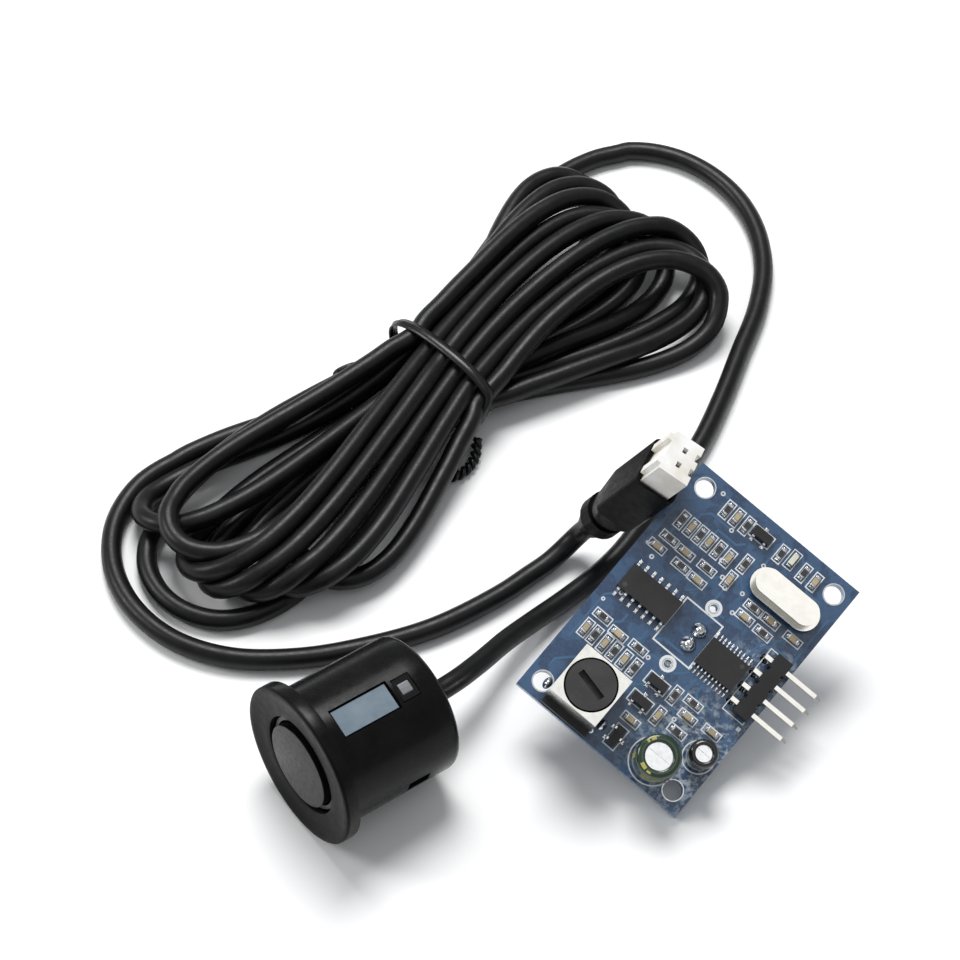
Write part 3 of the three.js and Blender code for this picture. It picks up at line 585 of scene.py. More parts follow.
# How much of each drawn route is free to settle, and where the lead ends inside the grommet and the boot.
PROBE_FREE, PLUG_FREE = 10, 8
IN_GROMMET, IN_BOOT = Vector((0, 0, -21.3)), Vector((0, 0, -21.6))


def between(a, b, share):
    return a + (b - a) * share


def in_hank(s, v, z):
    x, y = WAIST + ALONG * s + ACROSS * v
    return (x, y, z)


def fold(end, tip, first, last):
    """Five points round a fold: end is 1 at the far end and -1 at the near one."""
    s, v, z = tip
    half = max(6.3, abs(first[0] - last[0]) / 2) * (1 if first[0] > last[0] else -1)
    return [
        in_hank(s - end * 7.5, between(first[0], v + half, 0.8), between(first[1], z, 0.35)),
        in_hank(s - end * 2.2, v + half * 0.75, between(first[1], z, 0.8)),
        in_hank(s, v, z),
        in_hank(s - end * 2.2, v - half * 0.75, between(z, last[1], 0.45)),
        in_hank(s - end * 7.5, between(last[0], v - half, 0.8), between(z, last[1], 0.85)),
    ]


def run(start, tie, stop):
    """A run through the tie, from the fan it starts in to the one it stops in, if any."""
    end, far = start
    points = [in_hank(end * FAN, between(tie[0], far[0], 0.9), far[1])]
    points += [in_hank(2.5 * end, *tie), in_hank(-2.5 * end, *tie)]
    if stop:
        end, far = stop
        points.append(in_hank(end * FAN, between(tie[0], far[0], 0.9), far[1]))
    return points


def planned_lead():
    points = [*PROBE_ROUTE, in_hank(40, 18.0, CORD_RADIUS)]
    starts = [turn[0] for turn in TURNS[1:]] + [LAST_FAR]
    for turn, following in zip(TURNS, starts):
        far_top, tie_top, near_top, near_tip, near_low, tie_low, far_low, far_tip = turn
        points += run((1, far_top), tie_top, (-1, near_top))
        points += fold(-1, near_tip, near_top, near_low)
        points += run((-1, near_low), tie_low, (1, far_low))
        points += fold(1, far_tip, far_low, following)
    points += run((1, LAST_FAR), LAST_TIE, None)
    points += [in_hank(-15.5, 10.6, CORD_RADIUS), in_hank(-22.2, 12.3, CORD_RADIUS)]
    return points + PLUG_ROUTE[::-1]


def through(points, pieces=20):
    """A centripetal Catmull-Rom curve through points, as a fine polyline."""
    p = np.array(points, float)
    p = np.vstack([2 * p[0] - p[1], p, 2 * p[-1] - p[-2]])
    fine = []
    for a, b, c, d in zip(p, p[1:], p[2:], p[3:]):
        t = np.cumsum([0, *(max(1e-6, np.linalg.norm(q)) ** 0.5 for q in (b - a, c - b, d - c))])
        u = np.linspace(t[1], t[2], pieces, endpoint=False)[:, None]

        def blended(first, last, i, j):
            return ((t[j] - u) * first + (u - t[i]) * last) / (t[j] - t[i])

        ab, bc, cd = blended(a, b, 0, 1), blended(b, c, 1, 2), blended(c, d, 2, 3)
        fine.append(blended(blended(ab, bc, 0, 2), blended(bc, cd, 1, 3), 1, 2))
    return np.vstack([*fine, p[-2][None]])


def length_of(points):
    return float(np.linalg.norm(np.diff(points, axis=0), axis=1).sum())


def evenly(points, step):
    far = np.concatenate([[0], np.cumsum(np.linalg.norm(np.diff(points, axis=0), axis=1))])
    place = np.linspace(0, far[-1], int(round(far[-1] / step)) + 1)
    return np.stack([np.interp(place, far, points[:, k]) for k in range(3)], 1)


def hank_frame(p):
    return (p[:, :2] - WAIST) @ ALONG, (p[:, :2] - WAIST) @ ACROSS


def push_apart(p, free, pairs, gap):
    """Moves turns that lie closer than gap away from each other."""
    first, second = pairs
    apart = p[first] - p[second]
    far = np.linalg.norm(apart, axis=1) + 1e-9
    close = far < gap
    first, second = first[close], second[close]
    move = (0.5 * (gap - far[close]) / far[close])[:, None] * apart[close]
    count = np.bincount(first, minlength=len(p)) + np.bincount(second, minlength=len(p))
    for k in range(3):
        total = np.bincount(first, move[:, k], len(p)) - np.bincount(second, move[:, k], len(p))
        p[:, k] += 1.5 * free * total / np.maximum(1, count)


def sag_of(p, reach):
    """How far each point is from the middle between its neighbours reach points away."""
    sag = np.zeros_like(p)
    sag[reach:-reach] = (p[:-2 * reach] + p[2 * reach:]) / 2 - p[reach:-reach]
    return sag


def straighten(p, free, reach, share):
    """Bending stiffness over neighbours reach points away, spread by a triangular kernel."""
    sag = sag_of(p, reach)
    bend = np.zeros_like(p)
    inner = slice(2 * reach, -2 * reach)
    bend[inner] = sag[inner] - (sag[reach:-3 * reach] + sag[3 * reach:-reach]) / 2
    kernel = np.convolve(np.ones(reach), np.ones(reach))
    for k in range(3):
        bend[:, k] = np.convolve(bend[:, k], kernel / kernel.sum(), "same")
    p += share * bend * free[:, None]


def open_folds(p, free, step):
    """Pushes the ends of a short span apart where its bend is tighter than the jacket allows."""
    reach, tightest, share = 5, 6.6, 0.12
    chord = 2 * tightest * math.sin(reach * step / tightest)
    span = p[2 * reach:] - p[:-2 * reach]
    far = np.linalg.norm(span, axis=1)
    push = (np.maximum(0, chord - far) * share / far)[:, None] * span
    p[2 * reach:] += push * free[2 * reach:, None]
    p[:-2 * reach] -= push * free[:-2 * reach, None]


def gather(p, free):
    """Holds the turns inside the tie, and lifts them off the floor by the tie's thickness."""
    s, v = hank_frame(p)
    wide = BUNDLE["half_width"] - CORD_RADIUS
    tall = BUNDLE["half_height"] - CORD_RADIUS
    power = BUNDLE["roundness"]
    rise = p[:, 2] - BUNDLE["middle"]
    out = (np.abs(v / wide) ** power + np.abs(rise / tall) ** power) ** (1 / power)
    held = (np.abs(s) < TIE_REACH) & (out > 1)
    change = np.where(held, TIE_GRIP * (1 / np.maximum(out, 1e-6) - 1), 0) * free
    p[:, :2] += (v * change)[:, None] * ACROSS
    p[:, 2] += rise * change


def keep_even(p, free):
    """Slides points along the line, so that they stay evenly spaced."""
    way = np.zeros_like(p)
    way[1:-1] = p[2:] - p[:-2]
    way /= np.maximum(np.linalg.norm(way, axis=1), 1e-9)[:, None]
    p += EVENING * ((sag_of(p, 1) * way).sum(1) * free)[:, None] * way


# The laying down, in millimetres and in shares: of the rounds, or of a move.
ROUNDS, QUICK_ROUNDS = 1100, 120
FIRST_GAP, FULL_GAP_BY = 0.25, 0.45
SINK, LATE_SINK, SINK_UNTIL = 0.016, 0.005, 0.85
EVENING = 0.8
STIFFNESS = ((1, 0.5), (3, 0.25), (7, 0.12))
TIPS_FROM, FANS_FROM = 44, 16
TIP_MEMORY, FAN_MEMORY, TIE_MEMORY, MEMORY_UNTIL = 0.05, 0.006, 0.003, 0.7


def settle(plan, free, rounds):
    """Lays the planned hank down: turns take their full thickness, sink, and rest on each other."""
    p = plan.copy()
    step = length_of(p) / (len(p) - 1)
    apart = int(math.ceil(2.6 * CORD / step))
    s, _ = hank_frame(plan)
    fans, tips = np.abs(s) > FANS_FROM, np.abs(s) > TIPS_FROM
    for i in range(rounds):
        share = i / rounds
        gap = CORD * min(1, between(FIRST_GAP, 1, share / FULL_GAP_BY))
        if i % 6 == 0:
            q = p.astype(np.float32)
            near = ((q[:, None] - q[None]) ** 2).sum(2) < (gap * 1.35 + 0.6) ** 2
            pairs = np.nonzero(np.triu(near, apart))
        push_apart(p, free, pairs, gap)
        p[:, 2] -= free * (SINK if share < SINK_UNTIL else LATE_SINK)
        for reach, stiff in STIFFNESS:
            straighten(p, free, reach, stiff)
        open_folds(p, free, step)
        gather(p, free)
        held = TIE_MEMORY if share < MEMORY_UNTIL else 0
        memory = np.where(tips, TIP_MEMORY, np.where(fans, FAN_MEMORY, held))
        p[:, :2] += (plan[:, :2] - p[:, :2]) * (memory * free)[:, None]
        keep_even(p, free)
        p[:, 2] = np.where(free > 0, np.maximum(p[:, 2], CORD_RADIUS + 0.02), p[:, 2])
    return p


def lead_line():
    """The lead's centreline, from inside the grommet to inside the boot, in millimetres."""
    plan = evenly(through(planned_lead()), CORD_STEP)
    step = length_of(plan) / (len(plan) - 1)
    fixed_start = length_of(through(PROBE_ROUTE)) - PROBE_FREE
    fixed_end = length_of(through(PLUG_ROUTE)) - PLUG_FREE
    free = np.ones(len(plan))
    free[:int(fixed_start / step)] = 0
    free[len(plan) - int(fixed_end / step):] = 0
    line = settle(plan, free, ROUNDS)
    return np.vstack([PROBE @ IN_GROMMET, line, PLUG @ IN_BOOT])


def add_lead():
    points = evenly(through(lead_line(), 3), 0.8) * MM
    data = bpy.data.curves.new("lead", "CURVE")
    data.dimensions = "3D"
    data.bevel_depth = CORD_RADIUS * MM
    data.bevel_resolution = 4
    data.use_fill_caps = True
    spline = data.splines.new("POLY")
    spline.points.add(len(points) - 1)
    spline.points.foreach_set("co", np.hstack([points, np.ones((len(points), 1))]).ravel())
    spline.use_smooth = True
    data.materials.append(LOOKS["jacket"])
    lead = link(bpy.data.objects.new("lead", data))
    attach(lead, "probe_lead")
    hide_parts("probe_cable", "cable_hank", "plug_cable")
    return lead


def add_tie():
    """A twist tie: a flat plastic strip over a wire, its ends twisted beside the hank."""
    strip = Solid()
    section = [(-0.85, -0.12), (-0.35, -0.16), (0, -0.3), (0.35, -0.16), (0.85, -0.12),
               (0.85, 0.12), (0.35, 0.18), (0, 0.42), (-0.35, 0.18), (-0.85, 0.12)]
    wide, tall = BUNDLE["half_width"] + 0.38, BUNDLE["half_height"] + 0.32
    power = 2 / BUNDLE["roundness"]
    rings = []
    sides = 64
    for i in range(sides):
        t = math.tau * i / sides
        c, s = math.cos(t), math.sin(t)
        v = math.copysign(abs(c) ** power, c) * wide
        z = math.copysign(abs(s) ** power, s) * tall + BUNDLE["middle"]
        out = Vector((0, c / wide, s / tall)).normalized()
        lean = 0.5 - 4.2 * max(0, -c - s - 0.6)
        rings.append([in_hank(lean + a, v + out.y * b, z + out.z * b) for a, b in section])
    strip.loft(rings, loop=True)
    tie = strip.piece("twist_tie", "cord", "tie", smooth=True)
    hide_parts("cable_tie")
    return tie


# The twisted ends and the spare loop, as (s, v, z) in the hank's frame.
KNOT_LINE = [(-3.2, -11.2, 1.8), (-5.6, -13.2, 1.3), (-8.0, -14.0, 1.1), (-10.6, -13.6, 1.1),
             (-11.6, -12.2, 1.3), (-10.2, -11.4, 1.7)]
LOOP_LINE = [(-0.3, 10.7, 1.6), (-3.4, 12.2, 0.7), (-6.4, 13.8, 0.7), (-9.0, 14.0, 1.0), (-9.8, 12.9, 1.2),
             (-7.8, 12.4, 1.0), (-5.0, 12.3, 0.8)]


def add_tie_ends():
    """The two ends, wound round each other, and the loop left on the far side."""
    ends = Solid()
    spine = through([in_hank(*p) for p in KNOT_LINE], 12)
    circle = [(0.42 * math.cos(math.tau * k / 8), 0.3 * math.sin(math.tau * k / 8)) for k in range(8)]
    for phase in (0, math.pi):
        wound = []
        for i, p in enumerate(spine):
            t = phase + i * 0.62
            way = Vector(spine[min(i + 1, len(spine) - 1)] - spine[max(i - 1, 0)]).normalized()
            side = way.cross(Vector((0, 0, 1))).normalized()
            wound.append(Vector(p) + side * (0.5 * math.cos(t)) + side.cross(way) * (0.5 * math.sin(t)))
        ends.tube(wound, circle)
    loop = through([in_hank(*p) for p in LOOP_LINE], 8)
    ends.tube(loop, circle)
    return ends.piece("twist_tie_ends", "cord", "tie", smooth=True)


# ---------------------------------------------------------------- the board's small parts

# Centres of the small parts, from the board's corner: the first number runs along its long side.
LONG_HALF, WIDE_HALF = 20.5, 14.25
SMALL_PARTS = [
    # (spots, turn in degrees, whether they are capacitors)
    ([(38.0, 6.95), (38.0, 10.5), (38.0, 16.65), (38.0, 20.8), (32.7, 3.0), (32.7, 6.3), (32.7, 9.6),
      (33.6, 13.7), (12.2, 4.0), (12.2, 7.5), (12.2, 11.1), (12.9, 17.8)], 0, False),
    ([(38.0, 8.7), (38.0, 22.8), (32.7, 4.7), (32.7, 7.9), (32.7, 11.4), (30.35, 13.4), (12.2, 2.4),
      (12.2, 5.8), (12.2, 9.3), (9.2, 17.8)], 0, True),
    ([(29.5, 3.3), (29.6, 10.0), (27.5, 7.0), (14.9, 3.2), (14.7, 9.8), (29.5, 18.5), (27.6, 21.7),
      (13.7, 20.5), (9.2, 21.2)], 90, False),
    ([(29.4, 6.3), (27.5, 2.7), (27.4, 10.0), (14.4, 6.4), (27.7, 18.4), (29.6, 21.5), (29.65, 25.5),
      (11.7, 21.1), (12.2, 25.0), (6.3, 15.3)], 90, True),
]
AMPLIFIER = (0.9, 8.05)
CONTROLLER = (-0.1, -5.8)
TRANSISTORS = [(-7.9, -0.65, 90), (-11.3, -0.45, 90), (-17.3, -0.95, 0), (17.7, 1.25, 90)]
STATUS_LIGHT = (17.9, -4.2)
TRANSFORMER = (-15.4, 6.2)
CRYSTAL = (12.6, -6.8)
LARGE_CAPACITOR = (-16.6, -7.0)
SMALL_CAPACITOR = (-12.1, -11.5)
HEADER = (0.8, -12.15)
HEADER_LEGS_Y = -10.0
PITCH = 2.54
UNDERSIDE = -1.6


def pair(centre, across, up=0.0):
    """The two spots that lie across and up from centre, one either way."""
    return [(centre[0] + way * across, centre[1] + way * up) for way in (-1, 1)]


SOCKET_PINS = pair((0.4, -0.5), 1.25)
TEST_HOLES = pair((0.3, -0.05), 5.1)
CORNERS = [(x * 17.9, y * 11.65) for x in (-1, 1) for y in (-1, 1)]


def on_board(p, q):
    return p - LONG_HALF, WIDE_HALF - q


def board_solid():
    return Solid(BOARD, "ranging_board")


def small_parts():
    """Every small part as (x, y, turn, is a capacitor). Each call draws its small turns anew."""
    parts = []
    for spots, turn, capacitor in SMALL_PARTS:
        parts += [(*on_board(*spot), turn + random.uniform(-2, 2), capacitor) for spot in spots]
    return parts


def add_small_parts():
    resistors, capacitors, caps, solder = (board_solid() for _ in range(4))
    for x, y, turn, capacitor in small_parts():
        tall = 0.72 if capacitor else 0.42
        if capacitor:
            capacitors.block((x, y, 0.05), (1.02, 0.8, tall), turn)
        else:
            resistors.block((x, y, 0.05), (1.02, 0.8, tall), turn, look=1)
            resistors.block((x, y, 0.05 + tall + 0.005), (0.98, 0.76, 0.05), turn, taper=0.96)
        for side in (-1, 1):
            cap, foot = turned(x, y, turn, side * 0.66), turned(x, y, turn, side * 0.93)
            caps.block((*cap, 0.045), (0.29, 0.83, tall + 0.03), turn)
            solder.block((*foot, 0.012), (0.42, 0.86, tall * 0.55), turn, taper=0.42)
    resistors.piece("chip_resistors", "black_plastic", "resistor", "alumina", bevel=0.04)
    capacitors.piece("chip_capacitors", "piezo_ceramic", "tan", bevel=0.06)
    caps.piece("chip_end_caps", "tin", "lead", bevel=0.06, smooth=True)
    solder.piece("chip_solder", "tin", "solder", bevel=0.14, smooth=True, segments=3)


def gull_wing(solid, x, y, turn, width, body_half, drop, foot_end):
    """One bent leg. It leaves the body at body_half and drop high, and its foot ends at foot_end."""
    thick = 0.14
    knee = between(body_half, foot_end, 0.33)
    ankle = between(body_half, foot_end, 0.55)
    side = [(body_half - 0.05, drop), (knee, drop), (ankle, 0.06), (foot_end, 0.04), (foot_end, 0.04 + thick),
            (ankle + 0.1, 0.06 + thick), (knee + 0.08, drop + thick), (body_half - 0.05, drop + thick)]
    solid.loft([[(*turned(x, y, turn, a, b), z) for a, z in side] for b in (-width / 2, width / 2)])


def toe(solid, x, y, turn, width, foot_end):
    """Solder at the end of a leg's foot."""
    solid.block((*turned(x, y, turn, foot_end), 0.012), (0.62, width * 1.35, 0.16), turn, taper=0.55)


# Each chip's legs: the chip's centre, how many a side, their pitch and width, where they leave the body
# and how high, and where their feet end.
CHIP_LEGS = {
    "amplifier_legs": (AMPLIFIER, 7, 1.27, 0.42, 1.95, 0.82, 3.0),
    "controller_legs": (CONTROLLER, 10, 0.65, 0.24, 2.2, 0.62, 3.2),
}


def add_legs():
    solder = board_solid()
    for name, ((x, y), count, pitch, width, body_half, drop, foot_end) in CHIP_LEGS.items():
        legs = board_solid()
        for i in range(count):
            row_y = y + (i - (count - 1) / 2) * pitch
            for turn in (0, 180):
                gull_wing(legs, x, row_y, turn, width, body_half, drop, foot_end)
                toe(solder, x, row_y, turn, width, foot_end)
        legs.piece(name, "tin", "lead", bevel=0.03)
    legs = board_solid()
    for x, y, turn in TRANSISTORS:
        for shift, way in ((-0.95, 90), (0.95, 90), (0, -90)):
            spot = turned(x, y, turn, shift)
            gull_wing(legs, *spot, turn + way, 0.42, 0.65, 0.62, 1.25)
            toe(solder, *spot, turn + way, 0.5, 1.2)
    legs.piece("transistor_legs", "tin", "lead", bevel=0.03)
    solder.piece("leg_solder", "tin", "solder", bevel=0.05, smooth=True)


def add_chip_marks():
    """The paint in both chips' pin-one dimples, and the status light's solder."""
    dots = board_solid()
    dots.lathe([(0.32, 1.262), (0.34, 1.268), (0.3, 1.275)], CONTROLLER[0] + 1.45, CONTROLLER[1] - 2.4)
    dots.lathe([(0.34, 1.712), (0.36, 1.718), (0.32, 1.725)], AMPLIFIER[0] - 1.3, AMPLIFIER[1] + 3.5)
    dots.piece("pin_one_dots", "black_plastic", "grey_dot")
    ends = board_solid()
    for spot in pair(STATUS_LIGHT, 1.0):
        ends.block((*spot, 0.03), (0.34, 0.84, 0.42), taper=0.8)
    ends.piece("light_solder", "tin", "solder", bevel=0.08, smooth=True)


def dome(solid, x, y, radius, height, base=0.012, down=False, ragged=1.0, turn=40):
    """A solder joint: a flared foot rising to a rounded top, drawn out by ragged."""
    profile = [(1.0, 0.0), (0.97, 0.10), (0.86, 0.30), (0.72, 0.52), (0.52, 0.76), (0.28, 0.94), (0.08, 1.0)]
    way = -1 if down else 1
    solid.lathe([(r * radius, base + way * h * height) for r, h in profile], x, y, 18, ragged, turn)


def add_joints():
    """Solder at every pin that goes through the board, above and below it."""
    top = board_solid()
    for x, y in SOCKET_PINS:
        dome(top, x, y, 1.2, 1.35)
    dome(top, TRANSFORMER[0] - 2.3, TRANSFORMER[1] + 4.75, 0.62, 0.75, ragged=1.5, turn=0)
    dome(top, TRANSFORMER[0] - 1.9, TRANSFORMER[1] - 4.75, 0.62, 0.8, ragged=1.5, turn=0)
    top.piece("top_joints", "tin", "solder", smooth=True)
    below = board_solid()
    pins = [(HEADER[0] + (i - 1.5) * PITCH, HEADER_LEGS_Y) for i in range(4)]
    pins += pair(CRYSTAL, 0, 2.44) + pair(LARGE_CAPACITOR, 1.25) + pair(SMALL_CAPACITOR, 1.0)
    for spot in pair(TRANSFORMER, 2.6):
        pins += pair(spot, 0, 3.0)
    for x, y in pins:
        dome(below, x, y, 0.85, 1.15, UNDERSIDE - 0.012, down=True, ragged=random.uniform(1, 1.15))
    below.piece("under_joints", "tin", "solder", smooth=True)


def rings_both_sides(solid, spots, inner, outer, thick, sides):
    for x, y in spots:
        for low, high in ((0.004, thick), (UNDERSIDE - thick, UNDERSIDE - 0.004)):
            solid.ring(x, y, inner, outer, low, high, sides)


def add_pads():
    """Bare tinned rings round the mounting and test holes."""
    pads = board_solid()
    rings_both_sides(pads, CORNERS, 1.42, 1.58, 0.03, 36)
    for x, y in TEST_HOLES:
        pads.ring(x, y, 0.56, 0.76, 0.004, 0.03)
    pads.piece("hole_pads", "tin", "pad_metal")


# Copper runs under the lacquer, as corner points in the board's own frame.
TRACK_RUNS = [
    [(-15.4, 12.4), (-14.4, 12.4), (-10.6, 8.6), (-10.6, 4)], [(-10.8, 12.9), (-3, 12.9), (-1.5, 11.4)],
    [(6.2, 13.2), (14.5, 13.2), (15.6, 12.1)], [(8.0, 11.4), (10.6, 11.4)], [(8.0, 7.6), (10.6, 7.6)],
    [(-7.3, 9.6), (-5.4, 9.6), (-4.4, 8.6), (-3.0, 8.6)],
    [(-7.3, 6.1), (-5.6, 6.1), (-4.5, 5.0), (-3.0, 5.0)], [(4.8, 4.6), (6.4, 3.0), (8.4, 3.0), (9.4, 2.0)],
    [(13.2, 9.7), (14.6, 9.7), (15.6, 8.7), (15.6, 5.2)],
    [(13.2, 6.5), (14.4, 6.5), (14.4, 3.2), (15.4, 2.2)], [(11.2, 1.6), (11.2, -0.2), (9.8, -1.6)],
    [(5.2, -2.0), (5.2, -0.8), (6.6, 0.6), (8.4, 0.6)], [(3.6, -8.7), (5.6, -8.7), (6.6, -9.7), (6.6, -12)],
    [(3.6, -8.05), (5.9, -8.05), (8.2, -10.3), (10.2, -10.3)],
    [(-3.8, -3.1), (-5.2, -1.7), (-5.2, 2.4), (-7.6, 4.8)],
    [(-3.8, -4.4), (-6.2, -4.4), (-7.2, -5.4), (-7.2, -8.4)],
    [(-3.8, -5.7), (-5.4, -5.7), (-6.2, -6.5), (-6.2, -9.4)], [(-9.2, -2.2), (-9.2, -4.6), (-10.0, -5.4)],
    [(-13.2, 2.0), (-10.4, 2.0), (-8.6, 0.2)], [(-18.9, 2.0), (-18.9, -4.0)], [(14.8, -1.6), (19.4, -1.6)],
    [(15.6, -11.0), (15.6, -8.6), (19.2, -5.0)], [(-4.2, -12.9), (-8.8, -12.9)],
    [(6.0, -13.3), (14.6, -13.3)], [(-2.4, -0.9), (-2.4, 2.6), (-3.2, 3.4)], [(18.9, 4.2), (18.9, 9.0)],
    [(-19.4, -4.6), (-19.4, -8.6)], [(11.6, 12.0), (11.6, 3.6)],
]
UNDER_RUNS = [
    [(-16, -10), (-8, -10), (-3, -5), (8, -5), (12, -1), (12, 8)], [(-12, 9), (-4, 9), (2, 3), (2, 0.6)],
    [(-16, 2), (-9, 2), (-5, -2), (6, -2), (9, -5), (14, -5)],
    [(16, 11), (6, 11), (-2, 11), (-6, 7), (-14, 7)], [(-1.7, -9), (-1.7, -7.2), (0.2, -5.6)],
    [(4.6, -9), (4.6, -7), (7.2, -4.8), (17.4, -4.8)],
]
VIAS = [
    (-10.6, 3.7), (-1.3, 11.2), (9.6, 1.8), (15.6, 5.0), (9.6, -1.8), (8.6, 0.6), (-7.8, 5.0),
    (-10.2, -5.6), (14.6, -1.6), (-5.9, 2.6), (-4.6, -0.7), (6.6, -2.4), (11.4, 3.4), (18.9, 9.2),
    (-18.9, 2.2), (5.4, 11.2),
]


def add_tracks():
    tracks = board_solid()
    for run_points in TRACK_RUNS:
        tracks.ribbon(run_points, 0.34, 0.003, 0.018)
    for run_points in UNDER_RUNS:
        tracks.ribbon(run_points, 0.5, UNDERSIDE - 0.018, UNDERSIDE - 0.003)
    tracks.piece("masked_tracks", "board", "track")
    vias = board_solid()
    rings_both_sides(vias, VIAS, 0.15, 0.36, 0.026, 16)
    vias.piece("vias", "tin", "pad_metal")


# How high above the board the white print starts and ends.
INK = (0.005, 0.03)


def box_round(ink, x, y, long, wide, line=0.15):
    """A printed rectangle, whose upright strips stop just short of the others."""
    across, up = (long + line) / 2, (wide - line) / 2 - 0.002
    for way in (-1, 1):
        edge, side = y + way * wide / 2, x + way * long / 2
        ink.ribbon([(x - across, edge), (x + across, edge)], line, *INK)
        ink.ribbon([(side, y - up), (side, y + up)], line, *INK)


def add_print():
    """The white outlines round parts. The lettering of a real board is left out."""
    ink = board_solid()
    outlines = [(x, y, turn > 45, 2.75, 1.25) for x, y, turn, _ in small_parts()]
    outlines += [(x, y, turn == 90, 3.5, 1.9) for x, y, turn in TRANSISTORS]
    for x, y, stands, long, wide in outlines:
        box_round(ink, x, y, *((wide, long) if stands else (long, wide)), 0.17)
    box_round(ink, *on_board(20.9, 13.7), 7.6, 6.4, 0.24)
    box_round(ink, HEADER[0], HEADER[1] + 0.6, 10.9, 3.6)
    box_round(ink, *STATUS_LIGHT, 2.9, 1.4, 0.13)
    for x, y in TEST_HOLES:
        ink.ring(x, y, 0.80, 1.22, *INK)
    for spot, radius in ((LARGE_CAPACITOR, 3.4), (SMALL_CAPACITOR, 2.3)):
        ink.ring(*spot, radius - 0.1, radius + 0.1, *INK, 40)
    ink.ribbon([(-5.8, -13.3), (-5.2, -13.3)], 0.6, *INK)
    for spot in ((6.6, 12.9), (-3.6, 12.6)):
        ink.ring(*spot, 0.12, 0.3, *INK, 16)
    ink.piece("board_print", "white_plastic", "ink")


# Bars on the larger sleeve: their start and sweep in degrees, then their low and high edges.
SIDE_BARS = [(20, 44, 1.6, 6.3), (115, 14, 2.2, 5.6), (175, 60, 4.9, 5.4), (175, 60, 3.4, 3.9),
             (270, 50, 2.4, 5.2)]
# The same on its top, with their inner and outer edges.
TOP_BARS = [(48, 16, 2.3, 2.75), (70, 8, 2.3, 2.75), (150, 22, 2.25, 2.8), (178, 14, 2.5, 2.8)]


def lip_outline(r, top, opening):
    """The edge of a shrink sleeve of radius r, drawn over the can's shoulder."""
    return [(r, top - 0.8), (r + 0.06, top - 0.45), (r - 0.06, top - 0.05), (r - 0.4, top + 0.2),
            (opening + 0.25, top + 0.22), (opening, top + 0.12), (opening, top + 0.02), (r - 0.3, top + 0.02)]


def add_capacitor_print():
    """The sleeves' upper edges, plain bars round the larger one, and its polarity marks on the edge."""
    lips = board_solid()
    lips.revolve(lip_outline(3.12, 7.3, 1.95), *LARGE_CAPACITOR, 40)
    lips.revolve(lip_outline(2.02, 5.7, 1.2), *SMALL_CAPACITOR, 40, look=1)
    lips.piece("sleeve_lips", "green_sleeve", "green", "black_sleeve", smooth=True)
    bars = board_solid()
    for start, sweep, low, high in SIDE_BARS:
        section = [(3.103, low), (3.13, low), (3.13, high), (3.103, high)]
        bars.revolve(section, *LARGE_CAPACITOR, max(3, sweep // 6), start, sweep)
    for start, sweep, inner, outer in TOP_BARS:
        section = [(inner, 7.5), (outer, 7.49), (outer, 7.54), (inner, 7.55)]
        bars.revolve(section, *LARGE_CAPACITOR, max(3, sweep // 6), start, sweep)
    bars.piece("sleeve_bars", "green_sleeve", "yellow")


# ---------------------------------------------------------------- the probe's small parts

WINDOW_SIDE = 164
BARREL, BORE = 10.15, 8.65
# Where the outside and the bore run straight, as depths behind the flange's face.
BARREL_ENDS, BORE_ENDS = (1.7, 18.6), (1.2, 17.9)
# Each opening in the barrel: its middle in degrees, its near and far depth, and half its width.
OPENINGS = [(WINDOW_SIDE, 3.6, 12.9, 2.2), (WINDOW_SIDE, 13.4, 16.3, 1.8), (77, 11, 14.5, 1.1)]
OPENINGS += [(middle + 180, *rest) for middle, *rest in OPENINGS]
# The flange and the rear wall as (radius, z), and the row from which the flange's front has its own look.
FLANGE_LINE = [(11.66, -1.7), (11.77, -1.64), (11.8, -1.5), (11.8, 0.02), (11.77, 0.24), (11.62, 0.40),
               (11.3, 0.46), (10.8, 0.38), (9.6, 0.18), (8.4, 0.08), (7.6, 0.06), (7.38, 0.0), (7.3, -0.12),
               (7.3, -1.2)]
REAR_LINE = [(10.05, -19.0), (9.8, -19.38), (9.45, -19.62), (9.0, -19.7), (2.4, -19.7), (2.4, -17.9)]
FRONT_ROW = 4
# The cup from its inner end, round its rim, to the edge of its face.
CUP_LINE = [(5.25, -0.45), (5.25, -8.95), (6.15, -8.95), (6.15, 0.36), (6.1, 0.43), (6.0, 0.45)]
CUP_RIM = 0.36
# In the small window: a thin black sheet over the slot, painted shade where the slot lies in shadow, and the
# latch's nib on it. Both are outlines as (radius, sideways), with the depths that they run between.
SLOT_SHADE_SHEET = ([(9.97, -1.65), (10.0, -1.65), (10.0, 1.65), (9.97, 1.65)], -16.2, -13.5)
LATCH_NIB = ([(10.0, -0.85), (10.12, -0.7), (10.16, 0), (10.12, 0.7), (10.0, 0.85)], -15.6, -13.9)


def barrel_angles():
    """Angles round the barrel in degrees, each for its outside and its bore, with every opening's sides."""
    sides = []
    for middle, _, _, half in OPENINGS:
        for way in (-1, 1):
            turns = [(middle + way * math.degrees(math.asin(half / r))) % 360 for r in (BARREL, BORE)]
            sides.append(tuple(turns))
    plain = [t for t in range(0, 360, 3) if all(abs(t - side) > 1.6 for both in sides for side in both)]
    return sorted(set(sides) | {(t, t) for t in plain})


def is_open(angle, depth):
    """Whether the outside of the barrel is cut away there."""
    return any(
        near < depth < far
        and abs((angle - middle + 180) % 360 - 180) < math.degrees(math.asin(half / BARREL))
        for middle, near, far, half in OPENINGS
    )


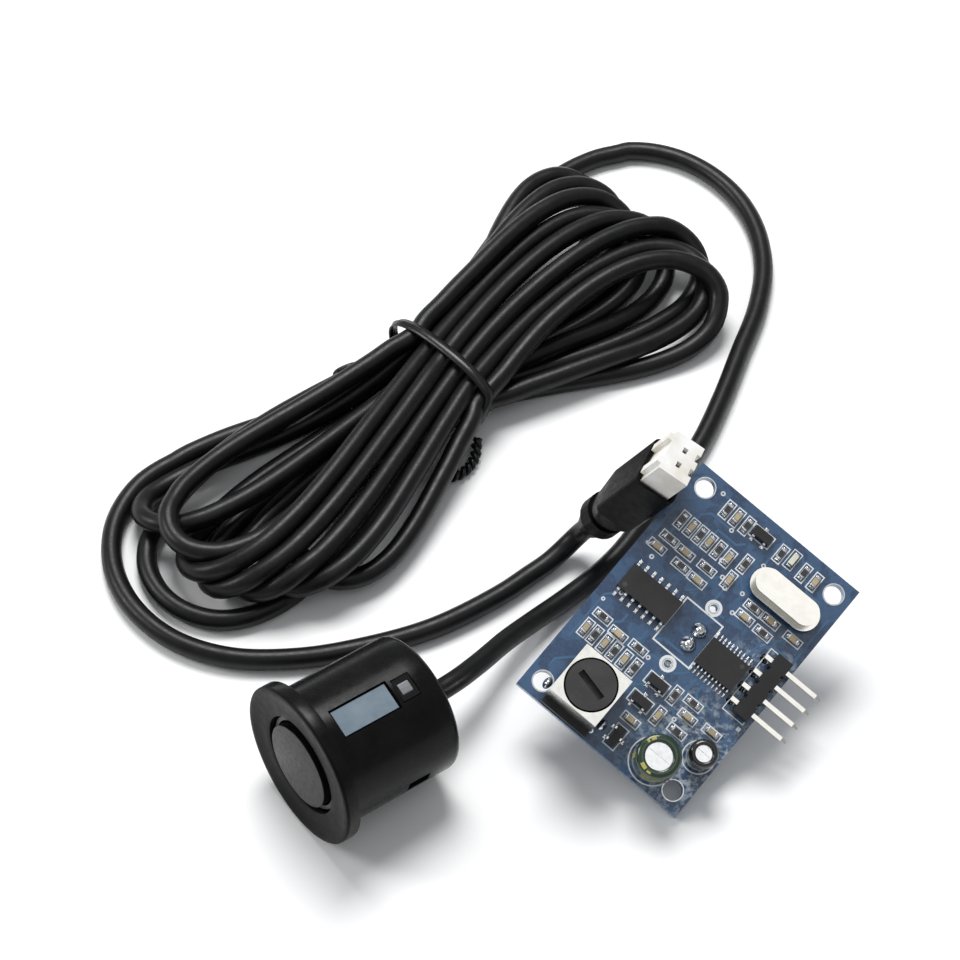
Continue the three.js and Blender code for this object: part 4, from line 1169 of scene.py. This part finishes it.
def add_casing():
    """The probe's shell: a round barrel with its openings, and a flange with a dished front."""
    angles = barrel_angles()
    depths = sorted({*BARREL_ENDS} | {d for _, near, far, _ in OPENINGS for d in (near, far)})
    casing = Solid(PROBE)

    def ring_at(radius, z, inside=False):
        turns = [math.radians(both[inside]) for both in angles]
        return [casing.bm.verts.new((radius * math.cos(t), radius * math.sin(t), z)) for t in turns]

    def skin(low, high, look=0, keep=None):
        for j in range(len(angles)):
            k = (j + 1) % len(angles)
            if keep is None or keep[j]:
                casing.bm.faces.new((low[j], low[k], high[k], high[j])).material_index = look

    outside = [ring_at(BARREL, -d) for d in depths]
    inside = [ring_at(BORE, -d, True) for d in (BORE_ENDS[0], *depths[1:-1], BORE_ENDS[1])]
    solid = []
    for near, far in zip(depths, depths[1:]):
        row = []
        for (a, _), (b, _) in zip(angles, angles[1:] + angles[:1]):
            row.append(not is_open(a + (b - a) % 360 / 2, (near + far) / 2))
        solid.append(row)
    for i, keep in enumerate(solid):
        for wall in (outside, inside):
            skin(wall[i], wall[i + 1], keep=keep)
        for j, kept in enumerate(keep):
            k = (j + 1) % len(keep)
            if kept != keep[k]:
                casing.bm.faces.new((outside[i][k], outside[i + 1][k], inside[i + 1][k], inside[i][k]))
            if i and kept != solid[i - 1][j]:
                casing.bm.faces.new((outside[i][j], outside[i][k], inside[i][k], inside[i][j]))
    front = [outside[0], *(ring_at(r, z) for r, z in FLANGE_LINE), inside[0]]
    rear = [outside[-1], *(ring_at(r, z) for r, z in REAR_LINE), inside[-1]]
    for row, (low, high) in enumerate(zip(front, front[1:])):
        skin(low, high, 1 if row >= FRONT_ROW else 0)
    for low, high in zip(rear, rear[1:]):
        skin(low, high)
    casing.crease()
    shell = casing.piece("probe_casing", "gloss_black", "shell", "flange", smooth=True)
    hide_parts("probe_shell")


def add_probe_detail():
    """The cup with its painted face, and in the small window a thin black sheet of painted shade with the
    latch's nib on it.
    """
    cup = Solid(PROBE)
    cup.lathe(CUP_LINE, sides=96)
    for face in cup.bm.faces:
        face.material_index = 0 if face.calc_center_median().z > CUP_RIM else 1
    cup.crease()
    shown = cup.piece("sounding_cup", "aluminium", "cup", "rubber", smooth=True)
    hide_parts("transducer_cup")
    window = PROBE @ Matrix.Rotation(math.radians(WINDOW_SIDE), 4, "Z")
    plate, nib = Solid(window), Solid(window)
    # The black sheet over the slot is painted shade, where the slot lies in shadow.
    plate.prism(*SLOT_SHADE_SHEET)
    plate.piece("painted_slot_shade", "gloss_black", "rubber")
    nib.prism(*LATCH_NIB)
    nib.piece("latch_nib", "silicone", "nib", bevel=0.06)


# ---------------------------------------------------------------- the whole

add_camera()
add_studio()
add_floor()
dress_nodes()
lead = add_lead()
tie = add_tie()
tie_ends = add_tie_ends()
add_small_parts()
add_legs()
add_chip_marks()
add_joints()
add_pads()
add_tracks()
add_print()
add_capacitor_print()
add_casing()
add_probe_detail()
